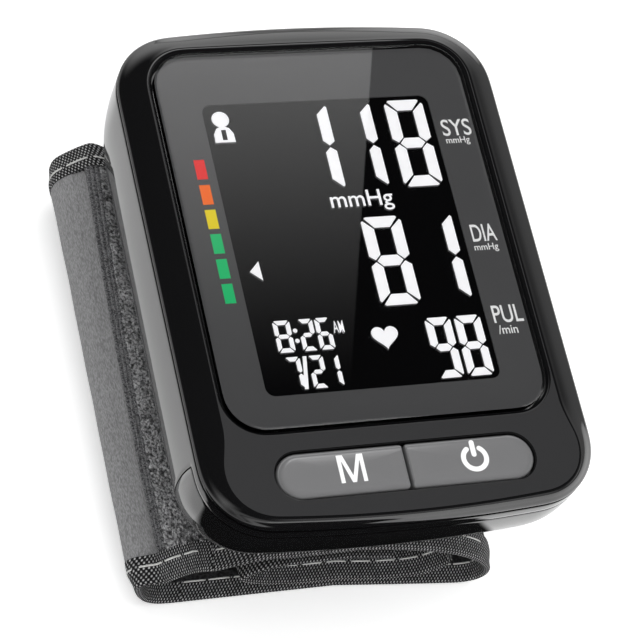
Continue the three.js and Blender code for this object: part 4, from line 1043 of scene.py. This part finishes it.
# Edge bindings: woven tape folded over both long edges of the band and sewn through.
# The weave shows as light beads in slanting rows on a near-black ground.
woven_tape, tape_in, tape_out = new_group(
    "woven_tape",
    [("Vector", "vector"), ("Pitch", "float"), ("Dark", "colour"), ("Light", "colour")],
    [("Colour", "colour"), ("Height", "float")],
)
tape_axes = wire(woven_tape, "ShaderNodeSeparateXYZ", {0: tape_in.outputs["Vector"]})
tape_turn = sums(woven_tape, "DIVIDE", 2 * np.pi, tape_in.outputs["Pitch"])
tape_slant = sums(woven_tape, "MULTIPLY_ADD", tape_axes.outputs["Y"], 0.3, tape_axes.outputs["X"])
tape_rows = sums(woven_tape, "MULTIPLY", tape_axes.outputs["Y"], 0.6)
tape_beads = sums(
    woven_tape, "MULTIPLY",
    sums(woven_tape, "SINE", sums(woven_tape, "MULTIPLY", tape_slant, tape_turn)),
    sums(woven_tape, "SINE", sums(woven_tape, "MULTIPLY", tape_rows, tape_turn)),
)
tape_wear = noise(woven_tape, tape_in.outputs["Vector"], 0.8, 3.0)
tape_light = sums(
    woven_tape, "MULTIPLY", band(woven_tape, tape_beads, 0.0, 0.8),
    band(woven_tape, tape_wear, 0.2, 0.8, 0.55, 1.0),
)
tape_mix = wire(woven_tape, "ShaderNodeMix", {
    "Factor": tape_light, "A": tape_in.outputs["Dark"], "B": tape_in.outputs["Light"],
}, data_type="RGBA")
woven_tape.links.new(tape_mix.outputs["Result"], tape_out.inputs["Colour"])
woven_tape.links.new(tape_beads, tape_out.inputs["Height"])
binding_tape = cloth(
    "binding_tape", (60, 60, 62), 0.75, woven_tape, 0.54, ((18, 18, 19), (214, 214, 215)), (0.8, 0.0002),
)
TAPE_ROUND = 0.7
TAPE_FULL = 3.6


def bound_edge(name, line, s, edge, inward, under, over):
    """A piece of folded tape: flat over the top, half a round at the edge, flat below, carried along the
    line. It is pressed to half its thickness at the edge."""
    flat = np.linspace(TAPE_DEPTH, TAPE_ROUND, 9)
    turn = np.linspace(np.pi / 2, -np.pi / 2, 13)
    depth = np.concatenate([flat, TAPE_ROUND * (1 - np.cos(turn))[1:-1], flat[::-1]])
    rise = np.concatenate([np.ones(9), np.sin(turn)[1:-1], -np.ones(9)])
    rise = rise * (0.5 + 0.5 * ease(TAPE_ROUND, TAPE_FULL, depth))
    depth, rise = np.append(depth, depth[0]), np.append(rise, rise[0])
    y = (edge + inward * depth)[None, :]
    s = s[:, None]
    middle = (over(s, y) + under(s, y)) / 2
    half = (over(s, y) - under(s, y)) / 2
    points = off_line(line, s, y, middle + half * rise[None, :])
    across = np.append(0, np.cumsum(np.linalg.norm(np.diff(points[0], axis=0), axis=1)))
    uv = np.stack(np.broadcast_arrays(s, across[None, :]), -1)
    ends = [patch(points[i][None, :-1], caps=(0,), uv=uv[i][None, :-1]) for i in (0, -1)]
    return make_piece(name, [patch(points, uv=uv)] + ends, [binding_tape], crease=50.0)


def band_under(s, y):
    """Inner face of the whole band: the lining's, turning into the strap's."""
    return lining_under(s, y) + (-STRAP_HALF - lining_under(s, y)) * strap_share(s)


EDGES = (("lower", CUFF_LOW, 1), ("upper", CUFF_HIGH, -1))
for label, edge, inward in EDGES:
    tape = bound_edge(
        f"cuff_binding_{label}_tape", band_line, np.linspace(BAND_START, LAY_END, 240), edge, inward,
        band_under, cover_over,
    )
    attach(tape, "case")
    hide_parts(f"cuff_binding_{label}")

# Closure tab: the band leaves the case at the left, turns down over the fold in smooth laminated cloth,
# and closes low against the strap's end. A strip of woven braid and a fuzzy edge lie along its seam.
FOLD_SHOULDER = [
    (-34.2, 10.2), (-33.7, 11.6), (-32.6, 13.2), (-30.9, 14.9), (-29.2, 16.2), (-27.6, 17.05), (-26.5, 17.4),
    (-24.5, 17.5), (-22.5, 17.3),
]
tab_line = strap_line([(-31.5, 1.7), (-32.7, 4.4), (-33.8, 7.9)] + FOLD_SHOULDER)
TAB_END = float(tab_line["run"][-1])
SEAM = 14.1
BRAID_END = 16.2
SEAM_SLANT = 0.06
LEAN_START = (7.5, 12.0)
LEAN_STOP = (17.2, 20.0)
TAB_THICKEN = (18.2, 20.5)
inner_y = np.linspace(CUFF_LOW + TAPE_DEPTH - TAPE_LAP, CUFF_HIGH + TAPE_LAP - TAPE_DEPTH, 90)


def slanted(s, y):
    """Distance along the tab of what lies along its slanting seam: the slant fades out towards both ends."""
    return s + SEAM_SLANT * y * np.minimum(s / SEAM, np.clip((TAB_END - s) / (TAB_END - BRAID_END), 0, 1))


def tab_middle(s, y):
    """Offset of the tab's middle: it leans from the shoulder of the fold on, and goes under the case flat
    where it would lean upwards."""
    high = np.maximum(lean(y), 0) * (1 - ease(*LEAN_STOP, s))
    return (high + np.minimum(lean(y), 0)) * ease(*LEAN_START, s)


def tab_half(s):
    """Half the tab's thickness, which grows to the band's own where it goes under the case."""
    return STRAP_HALF + 0.35 * ease(*TAB_THICKEN, s)


def on_tab(half):
    """An offset from the tab's middle, for pieces that lie along the slanting seam."""
    return lambda s, y: tab_middle(s, y) + half(s, y)


def tab_over(s, y):
    """Outer face of the tab, which thins out towards the seam."""
    return 1.05 - 0.8 * ease(SEAM - 3, SEAM, s - SEAM_SLANT * y) + rumple(s, y, 0.06)


tab_cloth = cloth(
    "tab_cloth", (146, 146, 147), 0.8, brushed_pile, 7.0, ((122, 122, 123), (164, 164, 165)), (0.3, 0.0001),
    (1.0, 0.2, 1.0), Sheen_Weight=0.1,
)
closure_tab = cloth_strip(
    "closure_tab_cloth", tab_cloth, tab_line, np.linspace(0.5, SEAM, 90), inner_y,
    on_tab(lambda s, y: -1.1), on_tab(tab_over), slide=slanted,
)
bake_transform(closure_tab)
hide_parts("closure_tab")
fold_line = strap_line([
    (-25.4, 1.2), (-27.6, 1.25), (-29.6, 1.7), (-31.2, 2.8), (-32.5, 4.7), (-33.7, 7.8),
] + FOLD_SHOULDER)
FOLD_END = float(fold_line["run"][-1])
FOLD_LEAD = FOLD_END - TAB_END
TAPE_CUT = FOLD_LEAD + 0.8


def fold_side(side):
    """One face of the tape round the fold, which runs on from the strap in one bend: side is 1 outside and
    -1 inside."""
    return lambda s, y: tab_middle(s - FOLD_LEAD, y) + side * tab_half(s - FOLD_LEAD)


for label, edge, inward in EDGES:
    tape = bound_edge(
        f"tab_binding_{label}_tape", fold_line, np.linspace(TAPE_CUT, FOLD_END, 160), edge, inward,
        fold_side(-1), fold_side(1),
    )
    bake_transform(tape)
    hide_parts(f"tab_binding_{label}")
    turned = bound_edge(
        f"strap_end_{label}_tape", fold_line, np.linspace(0, TAPE_CUT, 40), edge, inward,
        fold_side(-1), fold_side(1),
    )
    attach(turned, "case")


def braid_over(s, y):
    """Braid beside the seam: three low rolls along its length."""
    share = (s - SEAM - SEAM_SLANT * y) / (BRAID_END - SEAM)
    return 0.7 + 0.4 * np.abs(np.sin(3 * np.pi * share)) ** 0.7


braid_grey = cloth(
    "braid_grey", (70, 70, 72), 0.8, brushed_pile, 3.6, ((52, 52, 54), (150, 150, 152)), (0.8, 0.0002),
)
tab_braid = cloth_strip(
    "closure_tab_braid", braid_grey, tab_line, np.linspace(SEAM + 0.2, BRAID_END, 36), inner_y,
    on_tab(lambda s, y: -1.0), on_tab(braid_over), slide=slanted,
)
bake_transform(tab_braid)

# Hook and loop: a fuzzy loop edge along the case, stiff black hook tape inside the tab, and the loop strip
# on the strap's end that it grips. All are cut from tape and sewn on flat.
loop_pile = cloth(
    "loop_pile", (96, 96, 98), 0.95, brushed_pile, 2.2, ((16, 16, 18), (214, 214, 216)), (1.0, 0.0004),
    Sheen_Weight=0.4,
)
hook_black = cloth(
    "hook_black", (30, 30, 32), 0.6, woven_tape, 0.9, ((16, 16, 18), (70, 70, 72)), (1.0, 0.0004),
)
TANGLE_SIZE = 400
tangle = np.random.default_rng(11).normal(size=(TANGLE_SIZE, TANGLE_SIZE))
tangle = tangle + np.roll(tangle, 1, 0) + np.roll(tangle, 1, 1) + np.roll(tangle, (1, 1), (0, 1))


def fuzz(s, y):
    """Loops standing off the tape at random, from a table of blurred noise read at the grid's own points."""
    rows = np.arange(s.shape[0])[:, None] % TANGLE_SIZE
    columns = np.arange(y.shape[1])[None, :] % TANGLE_SIZE
    return 0.1 * tangle[rows, columns]


tab_loops = cloth_strip(
    "closure_tab_loops", loop_pile, tab_line, np.linspace(BRAID_END, TAB_END, 44),
    np.linspace(inner_y[0], inner_y[-1], 300),
    on_tab(lambda s, y: -1.0), on_tab(lambda s, y: tab_half(s) - 0.1 + fuzz(s, y)), slide=slanted,
)
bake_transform(tab_loops)
loop_patch = cloth_strip(
    "loop_strip", loop_pile, band_line, np.linspace(BAND_END - 4, BAND_END - 0.4, 24),
    np.linspace(POUCH_LOW, POUCH_HIGH, 220),
    lambda s, y: STRAP_HALF - 0.1 + 0 * s * y, lambda s, y: STRAP_HALF + 0.7 + 0.5 * fuzz(s, y),
)
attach(loop_patch, "case")
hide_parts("loop_patch")
hook_patch = cloth_strip(
    "hook_strip", hook_black, tab_line, np.linspace(5.4, 8.4, 20), np.linspace(POUCH_LOW, POUCH_HIGH, 120),
    lambda s, y: -1.9 + 0.5 * fuzz(s, y), lambda s, y: -1.05 + 0 * s * y,
)
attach(hook_patch, "closure_tab")
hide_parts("hook_patch")

# Inner flap: the thin tongue of cloth that is folded inside the cuff and shows in its open end.
# It is bound with the same tape on both edges.
flap_line = strap_line([
    (17, 9.6), (15.4, 7.0), (12.6, 4.7), (8, 3.65), (0, 3.65), (-8, 3.99), (-14, 5.6), (-16.3, 7.47),
    (-14, 9.53), (-8, 10.05), (0, 10.25), (7, 9.85),
])
FLAP_END = float(flap_line["run"][-1])


def flap_lift(s, y):
    """The flap's upper layer follows the lining up towards the pinched edges."""
    return 2 * (1 - crown(y)) * ease(0.55 * FLAP_END, 0.72 * FLAP_END, s)


inner_flap = cloth_strip(
    "inner_flap_cloth", cuff_cloth, flap_line, np.linspace(0, FLAP_END, 120), inner_y,
    lambda s, y: flap_lift(s, y) - 0.8, lambda s, y: flap_lift(s, y) + 0.8,
)
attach(inner_flap, "case")
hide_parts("inner_flap")
for label, edge, inward in EDGES:
    tape = bound_edge(
        f"flap_binding_{label}_tape", flap_line, np.linspace(0, FLAP_END, 150), edge, inward,
        lambda s, y: flap_lift(s, y) - 0.9, lambda s, y: flap_lift(s, y) + 0.9,
    )
    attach(tape, "case")
    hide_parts(f"flap_binding_{label}")

# Stitches: long white machine stitches that hold the bindings, laid along the tape near its inner edge.
# Each stitch is a short thread that dips into the cloth at both ends.
thread_white = skin("thread_white", (214, 214, 212), 0.7, 5000.0, 0.85, 0.6, 0.4)
STITCH = 3.9
STITCH_PITCH = 4.1
STITCH_DEPTH = 2.8
SEAM_START = BAND_START + 0.3
SEAM_END = 52.0


def stitch_row(line, start, end, y, offset, side=1):
    """A row of stitches: each is half a tube along the line that sinks at both ends by a sine. side is -1
    for stitches on the inner face."""
    turn = np.linspace(0, np.pi, 6)[None, :]
    patches = []
    for first in np.arange(start, end - STITCH, STITCH_PITCH):
        share = np.linspace(0, 1, 9)[:, None]
        arch = np.sin(np.pi * share) ** 0.5
        s = first + STITCH * share + 0 * turn
        across = y + 0.15 * np.cos(turn) + 0 * share
        rise = offset(s, across) + side * (0.16 * np.sin(turn) * arch - 0.12 * (1 - arch) - 0.1)
        patches.append(patch(off_line(line, s, across, rise)))
    return patches


seam_patches = []
tab_seam_patches = []
fold_over = fold_side(1)
for _, edge, inward in EDGES:
    seam = edge + inward * STITCH_DEPTH
    seam_patches += stitch_row(band_line, SEAM_START, SEAM_END, seam, lambda s, y: cover_over(s, y) + 0.02)
    seam_patches += stitch_row(band_line, SEAM_START, LAY_END, seam, lambda s, y: band_under(s, y) - 0.02, -1)
    seam_patches += stitch_row(flap_line, 1.0, FLAP_END - 1, seam, lambda s, y: flap_lift(s, y) - 0.92, -1)
    tab_seam_patches += stitch_row(
        fold_line, FOLD_LEAD + 5, FOLD_END - 1, seam, lambda s, y: fold_over(s, y) + 0.02,
    )
cuff_stitches = make_piece("cuff_stitches", seam_patches, [thread_white])
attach(cuff_stitches, "case")
tab_stitches = make_piece("tab_stitches", tab_seam_patches, [thread_white])
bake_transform(tab_stitches)

# Studio: a plain white table that glossy parts mirror darker near the cuff, a large lamp overhead and a
# small one in front that they don't mirror, and a room that is bright near the table and dark above, with
# one soft box whose straight edge shows in the window.
floor_white = new_material("floor_white", tone(248, 248, 248), 0.9, Emission_Color=(1.0, 1.0, 1.0, 1.0))
floor_tree = floor_white.node_tree
floor_shader = floor_tree.nodes["Principled BSDF"]
floor_path = floor_tree.nodes.new("ShaderNodeLightPath")
FLOOR_GLOW = 0.45
FLOOR_GREY = 0.94
FLOOR_DROP = -0.935
floor_seen = sums(
    floor_tree, "MAXIMUM", floor_path.outputs["Is Camera Ray"], floor_path.outputs["Is Transmission Ray"],
)
floor_glow = sums(floor_tree, "MULTIPLY", floor_seen, FLOOR_GLOW)
floor_tree.links.new(floor_glow, floor_shader.inputs["Emission Strength"])
floor_axes = wire(floor_tree, "ShaderNodeSeparateXYZ", {0: own_place(floor_tree)})
floor_x, floor_y = (floor_axes.outputs[axis] for axis in "XY")
floor_front = sums(
    floor_tree, "MULTIPLY", band(floor_tree, floor_y, -0.3, -0.2),
    sums(floor_tree, "MULTIPLY", band(floor_tree, floor_y, -0.036, -0.03, 1.0, 0.0),
         band(floor_tree, floor_x, 0.028, 0.03, 1.0, 0.0)),
)
floor_left = band(floor_tree, floor_x, -0.046, -0.038, 0.36, 0.0)
floor_dark = sums(floor_tree, "MAXIMUM", floor_front, floor_left)
floor_drop = sums(floor_tree, "MULTIPLY", floor_dark, floor_path.outputs["Is Glossy Ray"])
floor_grey = sums(floor_tree, "MULTIPLY_ADD", floor_drop, FLOOR_DROP, FLOOR_GREY)
floor_colour = wire(floor_tree, "ShaderNodeCombineColor", {0: floor_grey, 1: floor_grey, 2: floor_grey})
floor_tree.links.new(floor_colour.outputs["Color"], floor_shader.inputs["Base Color"])
floor = put("floor", bpy.data.meshes.new("floor"))
floor.data.from_pydata([(-3, -3, 0), (3, -3, 0), (3, 3, 0), (-3, 3, 0)], [], [(0, 1, 2, 3)])
floor.data.materials.append(floor_white)
for name, size, energy, place, turn in (
    ("soft_lamp", 1.5, 18.0, (0.1, 0.15, 1.2), (0, 0, 0)),
    ("front_fill", 0.5, 2.2, (0.1, -0.6, 0.24), (1.2, 0, 0.17)),
):
    lamp_data = bpy.data.lights.new(name, "AREA")
    lamp_data.size = size
    lamp_data.energy = energy
    lamp = put(name, lamp_data)
    lamp.location = place
    lamp.rotation_euler = turn
    lamp.visible_glossy = False
    lamp.visible_transmission = False

room = bpy.data.worlds.new("room")
bpy.context.scene.world = room
room.use_nodes = True
sky = room.node_tree
sky_axes = wire(sky, "ShaderNodeSeparateXYZ", {0: sky.nodes.new("ShaderNodeTexCoord").outputs["Generated"]})
sky_x, sky_y, sky_z = (sky_axes.outputs[axis] for axis in "XYZ")
height = sums(sky, "MAXIMUM", sky_z, 0.02)
plan_x = sums(sky, "DIVIDE", sky_x, height)
plan_y = sums(sky, "DIVIDE", sky_y, height)
front = band(sky, sky_y, -0.75, -0.3, 1.0, 0.0)
tall = band(sky, sky_z, 0.2, 0.55, 0.85, 0.0)
short = band(sky, sky_z, 0.06, 0.24, 0.45, 0.0)
glow_height = sums(sky, "MULTIPLY_ADD", sums(sky, "SUBTRACT", short, tall), front, tall)
horizon = sums(sky, "MULTIPLY", glow_height, band(sky, sky_x, 0.45, 0.85, 1.0, 0.3))
BOX_SLOPE = 0.2963
BOX_START = 0.395 - BOX_SLOPE * 0.441
box_edge = sums(sky, "SUBTRACT", sums(sky, "MULTIPLY_ADD", plan_y, BOX_SLOPE, BOX_START), plan_x)
box_side = sums(sky, "MULTIPLY", band(sky, box_edge, -0.0005, 0.0005), band(sky, plan_x, 0.05, 0.3))
box_fade = sums(
    sky, "MULTIPLY", band(sky, plan_y, 0.45, 0.72, 0.0, 1.75), band(sky, plan_y, 0.8, 1.3, 1.0, 0.0),
)
soft_box = sums(sky, "MULTIPLY", box_side, box_fade)
glow = sums(sky, "ADD", sums(sky, "MAXIMUM", horizon, 0.02), soft_box)
sky_colour = wire(sky, "ShaderNodeCombineColor", {0: glow, 1: glow, 2: glow})
sky.links.new(sky_colour.outputs["Color"], sky.nodes["Background"].inputs["Color"])
